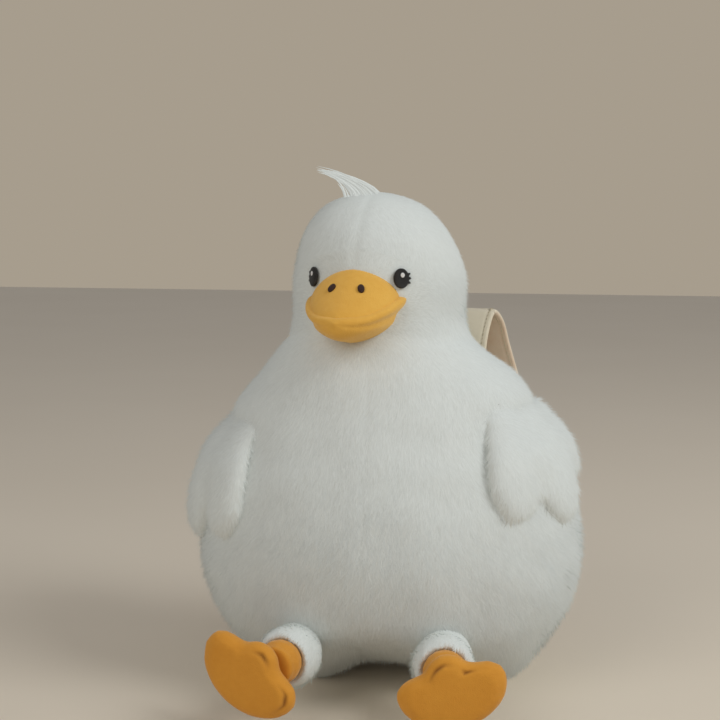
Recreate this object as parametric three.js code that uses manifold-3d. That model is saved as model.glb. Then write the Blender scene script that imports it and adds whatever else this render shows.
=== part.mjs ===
// Plush goose backpack, sitting with its legs out in front.
// Millimetres, +Z up. The goose faces -Y and +X is its own left side.
// The origin is the middle of the flat seat panel, on the table.

import * as THREE from 'three';
import { mergeVertices } from 'three/addons/utils/BufferGeometryUtils.js';
import Module from 'manifold-3d';

const wasm = await Module();
wasm.setup();

// Clearance kept between neighbouring pieces, and the overshoot of a cutter.
const GAP = 0.3;
const OVERCUT = 4;

// Body: outer sizes and the thickness of its layers.
const BODY_HEIGHT = 252;
const BODY_HALF_WIDTH = 136;
const BODY_FRONT = 111;
const BODY_BACK = 85;
const COVER_THICKNESS = 5;
const WADDING_THICKNESS = 9;
const LINING_THICKNESS = 1.6;
const TAPE_ROOM = 3.2;
const WADDING_TOP = 214;
const BODY_POINTS = 28;
const BODY_RINGS = 13;
const RING_EASE = 1.35;

// Height fraction, then half width, front and back as fractions of the full sizes.
// A back over 1 is flattened into the plane that lies against the wearer.
const BODY_STATIONS = [
  [0.00, 0.63, 0.33, 0.74],
  [0.04, 0.715, 0.47, 0.93],
  [0.09, 0.795, 0.62, 1.08],
  [0.16, 0.88, 0.79, 1.20],
  [0.24, 0.953, 0.915, 1.28],
  [0.34, 1.00, 0.985, 1.30],
  [0.44, 1.00, 1.00, 1.30],
  [0.54, 0.97, 0.975, 1.29],
  [0.64, 0.90, 0.915, 1.24],
  [0.735, 0.795, 0.825, 1.15],
  [0.815, 0.705, 0.74, 1.01],
  [0.89, 0.61, 0.66, 0.87],
  [0.95, 0.525, 0.595, 0.77],
  [1.00, 0.455, 0.558, 0.72],
];

// The neck leans a little to the goose's own right, from this height fraction up.
const NECK_SHIFT = -7;
const NECK_LEAN_FROM = 0.8;

// Seat panel, an oval let into the underside.
const SEAT_HALF_WIDTH = 62;
const SEAT_HALF_DEPTH = 30;
const SEAT_POINTS = 16;

// Back panel with its rounded outline, and the slot that the zip closes.
const PANEL_HALF_WIDTH = 52;
const PANEL_LOW = 32;
const PANEL_HIGH = 196;
const PANEL_CORNER = 36;
const SLOT_HALF_WIDTH = 8;
const SLOT_LOW = 48;
const SLOT_HIGH = 182;
const SLOT_CORNER = 3;
const MOUTH_HALF_WIDTH = 20;
const MOUTH_POINTS = 4;
const CORNER_POINTS = 5;

// Head, turned a little to the goose's own right: a short stem under a full dome.
const HEAD_HEIGHT = 96;
const HEAD_HALF_WIDTH = 62.5;
const HEAD_FRONT = 62.5;
const HEAD_BACK = 61;
const HEAD_TURN = -8;
const HEAD_POINTS = 24;
const STEM_SWELL = 0.985;
const STEM_RINGS = 2;
const DOME_FROM = 0.28;
const DOME_POWER = 2.15;
const DOME_RINGS = 8;
const FILLING_CLEARANCE = 0.8;

// Beak: forward reach from the head's axis, then half width, lip height over the neck seam,
// and the rise and fall of the section above and below the lip.
const BEAK_POINTS = 22;
const RIM_FULLNESS = 0.72;
const BOWL_FULLNESS = 1.2;
const BEAK_TIP = 1;
const UPPER_BEAK = [
  [44, 30, 25.5, 24.5, 4],
  [54, 30.5, 24, 24.5, 4],
  [60, 30, 22.5, 23.5, 4],
  [67, 28, 20, 18.5, 4],
  [75, 24.5, 17, 13.5, 4],
  [83, 19.5, 14, 9.5, 3.8],
  [89, 13, 12.2, 6.2, 3.2],
  [92.5, 5, 11.4, 3, 1.6],
];
const LOWER_BEAK = [
  [44, 34.5, 24, 4, 28.5],
  [54, 34.5, 22.5, 4, 26.5],
  [64, 32.5, 19.5, 4, 22],
  [74, 28.5, 16, 4, 17],
  [83, 22.5, 12.8, 4, 13],
  [90, 15.5, 11, 3.6, 10],
  [94.5, 7.5, 10.2, 2.8, 6.5],
  [96, 2.5, 10, 1.4, 2.5],
];
const NOSTRIL_SIDE = 10.5;
const NOSTRIL_REACH = 72.5;
const NOSTRIL_RISE = 31.8;
const NOSTRIL_SIZE = [2.4, 4.2, 4.2];

// Eyes: bearing from the face's middle, rise over the neck seam and oval size, with a sewn glint.
const EYE_BEARING = 32;
const EYE_RISE = 38;
const EYE_HALF_WIDTH = 5.6;
const EYE_HALF_HEIGHT = 7.8;
const EYE_HALF_DEPTH = 2.6;
const OVAL_POINTS = 12;
const OVAL_RINGS = 8;
const GLINT_RADIUS = 1.9;
const GLINT_RISE = 2.6;
const GLINT_SIDE = 1.6;

// Tuft of felt on the crown, its route measured from the top of the head.
const TUFT_POINTS = 8;
const TUFT_ROUTE = [
  [-4, -8, -8],
  [-9, -10, 2],
  [-18, -11, 8],
  [-29, -12, 12.5],
  [-41, -12, 15.5],
];
const TUFT_SWELL = [[0, 7.5], [0.3, 6.6], [0.6, 4.4], [0.85, 2.3], [1, 0.6]];
const TUFT_FLATNESS = 0.6;

// Wings: hinge below the neck seam, and each feather lobe's drop from the hinge and bearings.
const WING_HINGE_DROP = { left: 43, right: 57 };
const WING_BEARING = 76;
const WING_POINTS = 12;
const WING_RINGS = 9;
const WING_LOBES = [
  { start: 8, startBearing: 63, tipBearing: 45, half: 19, thick: 9.5, drop: { left: 79, right: 83 } },
  { start: 9, startBearing: 77, tipBearing: 68, half: 22, thick: 10, drop: { left: 86, right: 92 } },
  { start: 9, startBearing: 91, tipBearing: 97, half: 20, thick: 9.5, drop: { left: 64, right: 72 } },
];
const LOBE_SWELL = [
  [0, 0.55], [0.1, 0.8], [0.32, 0.94], [0.62, 1], [0.84, 0.86], [0.95, 0.56], [1, 0.16],
];
const LOBE_BEND = 1.25;
const LOBE_SINK = 0.35;
const LOBE_STEP = 0.05;

// Legs: round root that turns on the body, tapering to the ankle. The two are posed apart.
const LEG_SIDE = { left: 54.5, right: 47 };
const LEG_ROOT_HEIGHT = 41;
const LEG_ROOT_RADIUS = 21;
const LEG_END_RADIUS = 18.5;
const LEG_WAIST = 0.55;
const LEG_WAIST_SWELL = 0.97;
const LEG_LENGTH = 20;
const LEG_SPLAY = { left: 12, right: 10 };
const LEG_DROP = { left: 0, right: -3 };
const LEG_POINTS = 14;
const LEG_RINGS = 4;
const LEG_SEAT_ROUNDS = 12;
const ANKLE_BALL = 15;
const ANKLE_NECK = 13;
const ANKLE_CUT_BACK = 4;
const ANKLE_RINGS = 5;

// Feet: webbed outline by bearing from the middle toe, leaning in at the toes. Each hangs below
// and outwards of its ankle, and turns out a little.
const FOOT_STAND_OFF = 11;
const FOOT_THICKNESS = 15;
const FOOT_DROP = { left: 8, right: 6 };
const FOOT_OUT = { left: 6, right: 15 };
const FOOT_TURN = { left: 6, right: 8 };
const FOOT_LEAN = { left: 16, right: 36 };
const FOOT_POINTS = 40;
const FOOT_OUTLINE = [
  [0, 27.5], [20, 26], [40, 23.5], [54, 28.5], [68, 35.5], [82, 37],
  [100, 34], [128, 27.5], [155, 23.5], [180, 22.5],
];
const FOOT_LAYERS = [[0, 0.74], [0.12, 0.90], [0.34, 0.985], [0.62, 0.985], [0.88, 0.90], [1, 0.74]];

// Shoulder straps: padded band, webbing, and the two sewn ends that each strap turns on.
const STRAP_HALF_WIDTH = 14;
const STRAP_HALF_THICKNESS = 3;
const STRAP_STEPS = 22;
const STRAP_CHAMFER = 0.45;
const WEBBING_HALF_WIDTH = 10;
const WEBBING_HALF_THICKNESS = 1.1;
const ROOT_BALL = 1.15 * STRAP_HALF_WIDTH;
const ROOT_TAIL = 2.4;
const STRAP_STAND_OFF = 2;
const TAB_HALF_WIDTH = 10;
const TAB_BALL = 1.25 * TAB_HALF_WIDTH;
const TAB_HALF_THICKNESS = 2.4;
const TAB_REACH = 8;
const TAB_RINGS = 8;
const WEBBING_RINGS = 2;
const STRAP_ROOT = [45, 76.5, -49];
const TAB_BEARING = 125;
const TAB_HEIGHT = 40;

// Each route in offsets from the lower tab, then from the sewn root. Positive X is outwards.
const STRAP_ROUTES = {
  left: {
    fromTab: [[6.5, 42.5, 55], [0.5, 53.5, 81], [-13.5, 59.5, 113]],
    fromRoot: [[27, 45.5, -13], [17, 39.5, 22], [12, 28.5, 45], [7, 13.5, 53], [3, 1.5, 37]],
  },
  right: {
    fromTab: [[44.5, 25.5, 21], [57.5, 34.5, 43], [47.5, 45.5, 78], [25.5, 51.5, 118]],
    fromRoot: [[63, 37.5, -8], [45, 29.5, 22], [31, 16.5, 35], [15, 4.5, 27]],
  },
};

// Three-bar adjuster that slides on the straight webbing.
const ADJUSTER_HALF_WIDTH = 14;
const ADJUSTER_HALF_LENGTH = 11;
const ADJUSTER_HALF_DEPTH = 4.2;
const ADJUSTER_RAIL = 3;
const ADJUSTER_BAR = 3.4;
const ADJUSTER_BAR_DEPTH = 2.4;
const ADJUSTER_AT = { left: 0.56, right: 0.54 };

// Carrying loop behind the neck, turning on a bound seam.
const LOOP_SEAM_DROP = 44;
const LOOP_SEAM_POINTS = 16;
const LOOP_SEAM_SINK = 0.3;
const LOOP_SEAM_RADIUS = 3;
const LOOP_SEAM_HALF_LENGTH = 21;
const LOOP_HALF_SPAN = 15;
const LOOP_RISE = 34;
const LOOP_HALF_WIDTH = 6;
const LOOP_HALF_THICKNESS = 1.1;
const LOOP_STEPS = 14;
const LOOP_BEND_POINTS = 8;

// Zip: tapes, moulded teeth, stops, slider and pull, measured from the zip's own middle line.
const TAPE_WIDTH = 13;
const TAPE_THICKNESS = 1;
const TOOTH_PITCH = 4.6;
const TOOTH_DEPTH = 3;
const SPINE_INNER = 2.7;
const SPINE_OUTER = 4.3;
const TOOTH_TIP = 1.9;
const TOOTH_HEAD = 0.22;
const TOOTH_NECK = 0.155;
const TOOTH_SHOULDER = 0.54;
const TOOTH_START = 0.25;
const CHAIN_FOOT = 10;
const SLIDER_HALF_WIDTH = 6.6;
const SLIDER_BELOW = 9;
const SLIDER_ABOVE = 7;
const SLIDER_PLATE = 1.8;
const SLIDER_INSIDE = 2.2;
const SLIDER_WALL = 1.5;
const WEDGE_HALF_WIDTH = 1.5;
const BAIL_INNER = 4.4;
const BAIL_OUTER = 6;
const BAIL_HALF_WIDTH = 1.2;
const BAIL_POINTS = 7;
const PULL_PIVOT_RISE = 3.1;
const PULL_BAR_RADIUS = 0.9;
const PULL_HALF_THICKNESS = 0.8;
const PULL_EDGE = 1.26;
const PULL_BAR_POINTS = 10;
const PULL_HOLE_HALF_WIDTH = 1.8;
const PULL_HOLE_END = 7.4;
const PULL_HALF_WIDTH = 4.2;
const PULL_SHOULDER = 8.6;
const PULL_LENGTH = 25;
const STOP_HEIGHT = 4;
const STOP_WALL = 1.2;
const STOP_REACH = 2.6;
const BOTTOM_STOP_HEIGHT = 6;

const DEGREE = Math.PI / 180;
const SIDES = [['left', 1], ['right', -1]];

const WHITE_PLUSH = new THREE.MeshStandardMaterial({ color: 0xe9e8e2, roughness: 0.95, metalness: 0 });
const BACK_PLUSH = new THREE.MeshStandardMaterial({ color: 0xe3e1d8, roughness: 0.95, metalness: 0 });
const ORANGE_PLUSH = new THREE.MeshStandardMaterial({ color: 0xdc9a35, roughness: 0.9, metalness: 0 });
const DARK_THREAD = new THREE.MeshStandardMaterial({ color: 0x17130f, roughness: 0.6, metalness: 0 });
const BROWN_THREAD = new THREE.MeshStandardMaterial({ color: 0x4a2a12, roughness: 0.7, metalness: 0 });
const WHITE_THREAD = new THREE.MeshStandardMaterial({ color: 0xf4f3ee, roughness: 0.6, metalness: 0 });
const WADDING = new THREE.MeshStandardMaterial({ color: 0xf2f1ec, roughness: 1, metalness: 0 });
const LINING = new THREE.MeshStandardMaterial({ color: 0xded6c4, roughness: 0.8, metalness: 0 });
const STRAP_CLOTH = new THREE.MeshStandardMaterial({ color: 0xd9cdb2, roughness: 0.9, metalness: 0 });
const WEBBING_CLOTH = new THREE.MeshStandardMaterial({ color: 0xd2c4a4, roughness: 0.85, metalness: 0 });
const ZIP_PLASTIC = new THREE.MeshStandardMaterial({ color: 0xe6dfcf, roughness: 0.4, metalness: 0 });
const ZIP_METAL = new THREE.MeshStandardMaterial({ color: 0xb9b6ae, roughness: 0.35, metalness: 0.9 });
const BUCKLE_PLASTIC = new THREE.MeshStandardMaterial({ color: 0xcfc7b4, roughness: 0.45, metalness: 0 });

// Smooth curve through one column of a list of stations, each headed by its position.
function along(stations, position, column) {
  const last = stations.length - 1;
  const at = THREE.MathUtils.clamp(position, stations[0][0], stations[last][0]);
  let i = 0;
  while (i < last - 1 && at > stations[i + 1][0]) {
    i += 1;
  }
  const slope = (a, b) => (stations[b][column] - stations[a][column]) / (stations[b][0] - stations[a][0]);
  const span = stations[i + 1][0] - stations[i][0];
  const u = (at - stations[i][0]) / span;
  const startSlope = span * (i > 0 ? slope(i - 1, i + 1) : slope(i, i + 1));
  const endSlope = span * (i < last - 1 ? slope(i, i + 2) : slope(i, i + 1));
  const rise = stations[i + 1][column] - stations[i][column];
  const cubic = startSlope + endSlope - 2 * rise;
  const square = 3 * rise - 2 * startSlope - endSlope;
  return stations[i][column] + u * (startSlope + u * (square + u * cubic));
}

// Closed skin over a list of rings, each with the same number of points.
function loft(rings, low = null, high = null) {
  const count = rings[0].length;
  const points = rings.flat();
  const middle = (ring) => ring.reduce((sum, p) => sum.add(p), new THREE.Vector3()).divideScalar(count);
  points.push(low ?? middle(rings[0]));
  points.push(high ?? middle(rings[rings.length - 1]));
  const index = [];
  const top = (rings.length - 1) * count;
  for (let c = 0; c < count; c += 1) {
    const next = (c + 1) % count;
    for (let r = 0; r < top; r += count) {
      index.push(r + c, r + next, r + count + next);
      index.push(r + c, r + count + next, r + count + c);
    }
    index.push(points.length - 2, next, c);
    index.push(points.length - 1, top + c, top + next);
  }
  const geometry = new THREE.BufferGeometry().setFromPoints(points);
  geometry.setIndex(index);
  return geometry;
}

// Solid for cutting and joining, made from any closed geometry, turned outwards.
function solid(geometry) {
  const bare = geometry.clone();
  bare.deleteAttribute('normal');
  bare.deleteAttribute('uv');
  const merged = mergeVertices(bare);
  const at = merged.attributes.position;
  const triVerts = Uint32Array.from(merged.index.array);
  const corner = [new THREE.Vector3(), new THREE.Vector3(), new THREE.Vector3()];
  let volume = 0;
  for (let i = 0; i < triVerts.length; i += 3) {
    corner.forEach((v, k) => v.fromBufferAttribute(at, triVerts[i + k]));
    volume += corner[0].dot(corner[1].cross(corner[2]));
  }
  if (volume < 0) {
    triVerts.reverse();
  }
  const vertProperties = Float32Array.from(at.array);
  return new wasm.Manifold(new wasm.Mesh({ numProp: 3, vertProperties, triVerts }));
}

function geometryOf(form) {
  const mesh = form.getMesh();
  const geometry = new THREE.BufferGeometry();
  geometry.setAttribute('position', new THREE.BufferAttribute(Float32Array.from(mesh.vertProperties), 3));
  geometry.setIndex(Array.from(mesh.triVerts));
  return geometry;
}

function join(forms) {
  return forms.reduce((sum, form) => sum.add(form));
}

function cut(form, cutters) {
  return cutters.reduce((rest, cutter) => rest.subtract(cutter), form);
}

function piece(name, shape, material) {
  const geometry = shape.isBufferGeometry ? shape : geometryOf(shape);
  geometry.computeVertexNormals();
  const mesh = new THREE.Mesh(geometry, material);
  mesh.name = name;
  return mesh;
}

function box(low, high) {
  const size = high.map((value, k) => value - low[k]);
  const geometry = new THREE.BoxGeometry(...size);
  geometry.translate(...low.map((value, k) => value + size[k] / 2));
  return solid(geometry);
}

// Ball whose facets lie inside its radius, or outside it where it is a cutter.
function ball(centre, radius, cutter = false) {
  const facet = Math.cos(Math.PI / LEG_POINTS) ** 2;
  const size = cutter ? radius / facet : radius;
  const geometry = new THREE.SphereGeometry(size, LEG_POINTS, LEG_POINTS / 2);
  geometry.translate(centre.x, centre.y, centre.z);
  return solid(geometry);
}

// Plate whose outline lies in X and Z, reaching back from the plane y = front by its depth.
function upright(shape, front, depth, curveSegments = CORNER_POINTS) {
  const geometry = new THREE.ExtrudeGeometry(shape, { depth, bevelEnabled: false, curveSegments });
  geometry.rotateX(Math.PI / 2);
  geometry.translate(0, front, 0);
  return geometry;
}

function roundedOutline(halfWidth, low, high, radius) {
  const corner = Math.min(radius, halfWidth - GAP, (high - low) / 2 - GAP);
  const shape = new THREE.Shape();
  shape.moveTo(-halfWidth + corner, low);
  shape.lineTo(halfWidth - corner, low);
  shape.absarc(halfWidth - corner, low + corner, corner, -Math.PI / 2, 0, false);
  shape.lineTo(halfWidth, high - corner);
  shape.absarc(halfWidth - corner, high - corner, corner, 0, Math.PI / 2, false);
  shape.lineTo(-halfWidth + corner, high);
  shape.absarc(-halfWidth + corner, high - corner, corner, Math.PI / 2, Math.PI, false);
  shape.lineTo(-halfWidth, low + corner);
  shape.absarc(-halfWidth + corner, low + corner, corner, Math.PI, Math.PI * 1.5, false);
  return shape;
}

// Sideways lean of the body's axis at a height fraction.
function neckLean(t) {
  return NECK_SHIFT * THREE.MathUtils.smoothstep(t, NECK_LEAN_FROM, 1);
}

// Body surface: bearing 0 is the front and 90 degrees is the goose's left side.
function roundPoint(z, bearing, inset) {
  const t = z / BODY_HEIGHT;
  const forward = Math.cos(bearing);
  const front = BODY_FRONT * along(BODY_STATIONS, t, 2) - inset;
  const back = BODY_BACK * along(BODY_STATIONS, t, 3) - inset;
  const half = BODY_HALF_WIDTH * along(BODY_STATIONS, t, 1) - inset;
  const x = half * Math.sin(bearing) + neckLean(t);
  return new THREE.Vector3(x, -forward * (forward > 0 ? front : back), z);
}

function bodyPoint(z, bearing, inset = 0) {
  const at = roundPoint(z, bearing, inset);
  at.y = Math.min(at.y, BODY_BACK - inset);
  return at;
}

function bodyNormal(z, bearing) {
  const step = 1;
  const turn = step * DEGREE;
  const up = bodyPoint(z + step, bearing).sub(bodyPoint(z - step, bearing));
  const round = bodyPoint(z, bearing + turn).sub(bodyPoint(z, bearing - turn));
  return round.cross(up).normalize();
}

// Heights of the rings that all the body's layers share.
function ringHeight(k) {
  return BODY_HEIGHT * (k / BODY_RINGS) ** RING_EASE;
}

// Shared heights that lie well between two others.
function ringHeights(low, high) {
  const all = Array.from({ length: BODY_RINGS + 1 }, (_, k) => ringHeight(k));
  return all.filter((z) => z > low + OVERCUT / 2 && z < high - OVERCUT / 2);
}

// Ring at any height, on the straight lines between the shared rings, so that layers nest.
function bodyRing(z, inset, points = BODY_POINTS) {
  const last = BODY_RINGS - 1;
  let k = 0;
  while (k < last && ringHeight(k + 1) < z) {
    k += 1;
  }
  const share = THREE.MathUtils.clamp((z - ringHeight(k)) / (ringHeight(k + 1) - ringHeight(k)), 0, 1);
  return Array.from({ length: points }, (_, c) => {
    const bearing = (c / points) * 2 * Math.PI;
    const below = roundPoint(ringHeight(k), bearing, inset);
    return below.lerp(roundPoint(ringHeight(k + 1), bearing, inset), share).setZ(z);
  });
}

// Body volume between two heights, drawn in by an inset and sliced flat at the back.
function bodyForm(inset, low, high, backInset = inset) {
  const heights = [low, ...ringHeights(low, high), high];
  const far = 2 * BODY_HEIGHT;
  const behind = box([-far, BODY_BACK - backInset, -far], [far, far, far]);
  return cut(solid(loft(heights.map((z) => bodyRing(z, inset)))), [behind]);
}

const BODY_SOLID = bodyForm(0, 0, BODY_HEIGHT);
const BODY_SHAPE = geometryOf(BODY_SOLID);
const BODY_CLEAR = bodyForm(-GAP, -GAP, BODY_HEIGHT + GAP);
const STRAP_CLEAR = bodyForm(-STRAP_STAND_OFF, -GAP, BODY_HEIGHT + GAP);

// Distance from a point to the body's skin.
function bodyDistance(point) {
  const at = BODY_SHAPE.attributes.position;
  const order = BODY_SHAPE.index.array;
  const face = new THREE.Triangle();
  const nearest = new THREE.Vector3();
  let least = Infinity;
  for (let i = 0; i < order.length; i += 3) {
    face.setFromAttributeAndIndices(at, order[i], order[i + 1], order[i + 2]);
    face.closestPointToPoint(point, nearest);
    least = Math.min(least, nearest.distanceTo(point));
  }
  return least;
}

function seatOutline(grow) {
  const shape = new THREE.Shape();
  shape.absellipse(0, 0, SEAT_HALF_WIDTH + grow, SEAT_HALF_DEPTH + grow, 0, 2 * Math.PI);
  return shape;
}

function seatPlate(grow, low, high) {
  const options = { depth: high - low, bevelEnabled: false, curveSegments: SEAT_POINTS };
  const geometry = new THREE.ExtrudeGeometry(seatOutline(grow), options);
  geometry.translate(0, 0, low);
  return geometry;
}

function panelOutline(shrink) {
  const edge = [PANEL_LOW + shrink, PANEL_HIGH - shrink, PANEL_CORNER - shrink];
  return roundedOutline(PANEL_HALF_WIDTH - shrink, ...edge);
}

function bodyCover() {
  const inside = bodyForm(COVER_THICKNESS, COVER_THICKNESS, BODY_HEIGHT + OVERCUT);
  const backWindow = solid(upright(panelOutline(0), BODY_BACK + OVERCUT, COVER_THICKNESS + 2 * OVERCUT));
  const seatWindow = solid(seatPlate(GAP, -OVERCUT, COVER_THICKNESS + OVERCUT));
  return cut(BODY_SOLID, [inside, backWindow, seatWindow]);
}

function backPanel() {
  const shape = panelOutline(GAP);
  shape.holes.push(roundedOutline(SLOT_HALF_WIDTH, SLOT_LOW, SLOT_HIGH, SLOT_CORNER));
  return upright(shape, BODY_BACK, COVER_THICKNESS);
}

// Opening through the wadding and the lining, behind the zip.
function mouth() {
  const shape = roundedOutline(MOUTH_HALF_WIDTH, SLOT_LOW, SLOT_HIGH, MOUTH_HALF_WIDTH);
  return solid(upright(shape, BODY_BACK + OVERCUT, BODY_BACK, MOUTH_POINTS));
}

function bodyWadding() {
  const outside = COVER_THICKNESS + GAP;
  const inside = outside + WADDING_THICKNESS;
  const flat = COVER_THICKNESS + TAPE_ROOM;
  const outer = bodyForm(outside, outside, WADDING_TOP, flat);
  const inner = bodyForm(inside, inside, WADDING_TOP - WADDING_THICKNESS, flat + WADDING_THICKNESS);
  return cut(outer, [inner, mouth()]);
}

function liningPouch() {
  const outside = COVER_THICKNESS + WADDING_THICKNESS + 2 * GAP;
  const inside = outside + LINING_THICKNESS;
  const flat = COVER_THICKNESS + TAPE_ROOM + WADDING_THICKNESS + GAP;
  const top = WADDING_TOP - WADDING_THICKNESS - GAP;
  const outer = bodyForm(outside, outside, top, flat);
  const inner = bodyForm(inside, inside, top - LINING_THICKNESS, flat + LINING_THICKNESS);
  return cut(outer, [inner, mouth()]);
}

// Share of the full head size at a height fraction.
function headSwell(t) {
  if (t < DOME_FROM) {
    return STEM_SWELL + (1 - STEM_SWELL) * THREE.MathUtils.smoothstep(t, 0, DOME_FROM);
  }
  const climb = Math.min((t - DOME_FROM) / (1 - DOME_FROM), 1);
  return (1 - climb ** DOME_POWER) ** (1 / DOME_POWER);
}

// Ring heights: even on the stem, then by even angles over the dome, short of its top.
function headLevels() {
  const levels = [];
  for (let k = 0; k < STEM_RINGS; k += 1) {
    levels.push(DOME_FROM * (k / STEM_RINGS));
  }
  for (let k = 0; k < DOME_RINGS; k += 1) {
    const climb = Math.sin((k / DOME_RINGS) * (Math.PI / 2));
    levels.push(DOME_FROM + (1 - DOME_FROM) * climb);
  }
  return levels;
}

// Head surface, in the head's own frame with the face towards -Y.
function headPoint(t, bearing, inset) {
  const forward = Math.cos(bearing);
  const swell = headSwell(t);
  const depth = (forward > 0 ? HEAD_FRONT : HEAD_BACK) * swell - inset;
  const half = HEAD_HALF_WIDTH * swell - inset;
  const z = BODY_HEIGHT + t * (HEAD_HEIGHT - inset);
  return new THREE.Vector3(half * Math.sin(bearing), -depth * forward, z);
}

function headRing(t, inset) {
  return Array.from({ length: HEAD_POINTS }, (_, c) =>
    headPoint(t, (c / HEAD_POINTS) * 2 * Math.PI, inset));
}

function headForm(inset, low) {
  const rings = headLevels().map((t) => headRing(t, inset));
  rings[0].forEach((p) => p.setZ(low));
  return loft(rings, null, new THREE.Vector3(0, 0, BODY_HEIGHT + HEAD_HEIGHT - inset));
}

const HEAD_CLEAR = solid(headForm(-GAP, BODY_HEIGHT));

// Body as the shifted and turned head sees it.
const NECK_SHAPE = geometryOf(BODY_CLEAR).translate(-NECK_SHIFT, 0, 0).rotateZ(-HEAD_TURN * DEGREE);
const NECK_CLEAR = solid(NECK_SHAPE);

function headCover() {
  const outer = solid(headForm(0, BODY_HEIGHT + GAP));
  return cut(outer, [solid(headForm(COVER_THICKNESS, BODY_HEIGHT - OVERCUT))]);
}

// Stuffing of the head, reaching down the neck to the top of the wadding.
function headFilling() {
  const inset = COVER_THICKNESS + FILLING_CLEARANCE;
  const foot = WADDING_TOP + GAP;
  const shift = new THREE.Vector3(NECK_SHIFT, 0, 0);
  const rings = [foot, ...ringHeights(foot, BODY_HEIGHT)].map((z) => bodyRing(z, inset, HEAD_POINTS));
  headLevels().forEach((t) => rings.push(headRing(t, inset).map((p) => p.add(shift))));
  return loft(rings, null, new THREE.Vector3(NECK_SHIFT, 0, BODY_HEIGHT + HEAD_HEIGHT - inset));
}

// Mandible: oval sections along the beak, each with its own rise and fall from the lip.
// A fullness under 1 squares the section, as in a rolled rim, and one over 1 tapers it.
function mandible(stations, above, below, grow) {
  const rings = stations.map(([reach, half, lip, rise, fall]) =>
    Array.from({ length: BEAK_POINTS }, (_, c) => {
      const turn = (c / BEAK_POINTS) * 2 * Math.PI;
      const up = Math.sin(turn) > 0;
      const power = (value) => Math.sign(value) * Math.abs(value) ** (up ? above : below);
      const z = BODY_HEIGHT + lip + ((up ? rise : fall) + grow) * power(Math.sin(turn));
      return new THREE.Vector3((half + grow) * power(Math.cos(turn)), -reach, z);
    }));
  const [reach, , lip] = stations[stations.length - 1];
  return solid(loft(rings, null, new THREE.Vector3(0, -reach - BEAK_TIP - grow, BODY_HEIGHT + lip)));
}

function upperForm(grow) {
  return mandible(UPPER_BEAK, 1, 1, grow);
}

function beakUpper() {
  return cut(upperForm(0), [HEAD_CLEAR]);
}

// The lower mandible's rim stands round the upper one, which lies in it.
function beakLower() {
  const form = mandible(LOWER_BEAK, RIM_FULLNESS, BOWL_FULLNESS, 0);
  return cut(form, [HEAD_CLEAR, NECK_CLEAR, upperForm(GAP)]);
}

// Small oval of thread, laid on a curved surface and cut to it.
function oval(size, place, cutters) {
  const geometry = new THREE.SphereGeometry(1, OVAL_POINTS, OVAL_RINGS);
  geometry.scale(...size);
  geometry.applyMatrix4(place);
  return cut(solid(geometry), cutters);
}

function nostril(side) {
  const place = new THREE.Matrix4();
  place.makeTranslation(side * NOSTRIL_SIDE, -NOSTRIL_REACH, BODY_HEIGHT + NOSTRIL_RISE);
  return oval(NOSTRIL_SIZE, place, [upperForm(GAP), HEAD_CLEAR]);
}

function eyePlace(side) {
  const bearing = side * EYE_BEARING * DEGREE;
  const at = headPoint(EYE_RISE / HEAD_HEIGHT, bearing, 0);
  return new THREE.Matrix4().makeRotationZ(bearing).setPosition(at);
}

function eyeForm(side, grow) {
  const size = [EYE_HALF_WIDTH + grow, EYE_HALF_DEPTH + grow, EYE_HALF_HEIGHT + grow];
  return oval(size, eyePlace(side), grow > 0 ? [] : [HEAD_CLEAR]);
}

function eyeGlint(side) {
  const place = eyePlace(side);
  const forward = -EYE_HALF_DEPTH + GLINT_RADIUS / 2;
  place.multiply(new THREE.Matrix4().makeTranslation(GLINT_SIDE, forward, GLINT_RISE));
  return oval([GLINT_RADIUS, GLINT_RADIUS, GLINT_RADIUS], place, [eyeForm(side, GAP), HEAD_CLEAR]);
}

// Tapering wisp, flattened across its width.
function hairTuft() {
  const crown = new THREE.Vector3(0, 0, BODY_HEIGHT + HEAD_HEIGHT);
  const route = new THREE.CatmullRomCurve3(TUFT_ROUTE.map((p) => new THREE.Vector3(...p).add(crown)));
  const across = new THREE.Vector3(0, 1, 0);
  const rings = TUFT_SWELL.map(([s, radius]) => {
    const at = route.getPoint(s);
    const rise = new THREE.Vector3().crossVectors(route.getTangent(s), across).normalize();
    return Array.from({ length: TUFT_POINTS }, (_, c) => {
      const turn = (c / TUFT_POINTS) * 2 * Math.PI;
      const point = at.clone().addScaledVector(across, radius * Math.cos(turn));
      return point.addScaledVector(rise, radius * TUFT_FLATNESS * Math.sin(turn));
    });
  });
  return cut(solid(loft(rings)), [HEAD_CLEAR]);
}

// One feather lobe lying on the body's side, its section swelling and tapering down its length.
function wingLobe(name, lobe) {
  const rings = [];
  const top = BODY_HEIGHT - WING_HINGE_DROP[name];
  const spine = (s) => {
    const bearing = lobe.startBearing + (lobe.tipBearing - lobe.startBearing) * s ** LOBE_BEND;
    const z = top - lobe.start - (lobe.drop[name] - lobe.start) * s;
    const out = bodyNormal(z, bearing * DEGREE);
    return { out, at: bodyPoint(z, bearing * DEGREE).addScaledVector(out, lobe.thick * LOBE_SINK) };
  };
  for (let k = 0; k < WING_RINGS; k += 1) {
    const s = k / (WING_RINGS - 1);
    const { at, out } = spine(s);
    const next = spine(Math.min(s + LOBE_STEP, 1)).at;
    const ahead = next.sub(spine(Math.max(s - LOBE_STEP, 0)).at).normalize();
    const across = new THREE.Vector3().crossVectors(ahead, out).normalize();
    const swell = along(LOBE_SWELL, s, 1);
    rings.push(Array.from({ length: WING_POINTS }, (_, c) => {
      const turn = (c / WING_POINTS) * 2 * Math.PI;
      const point = at.clone().addScaledVector(across, lobe.half * swell * Math.cos(turn));
      return point.addScaledVector(out, lobe.thick * swell * Math.sin(turn));
    }));
  }
  return solid(loft(rings));
}

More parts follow.
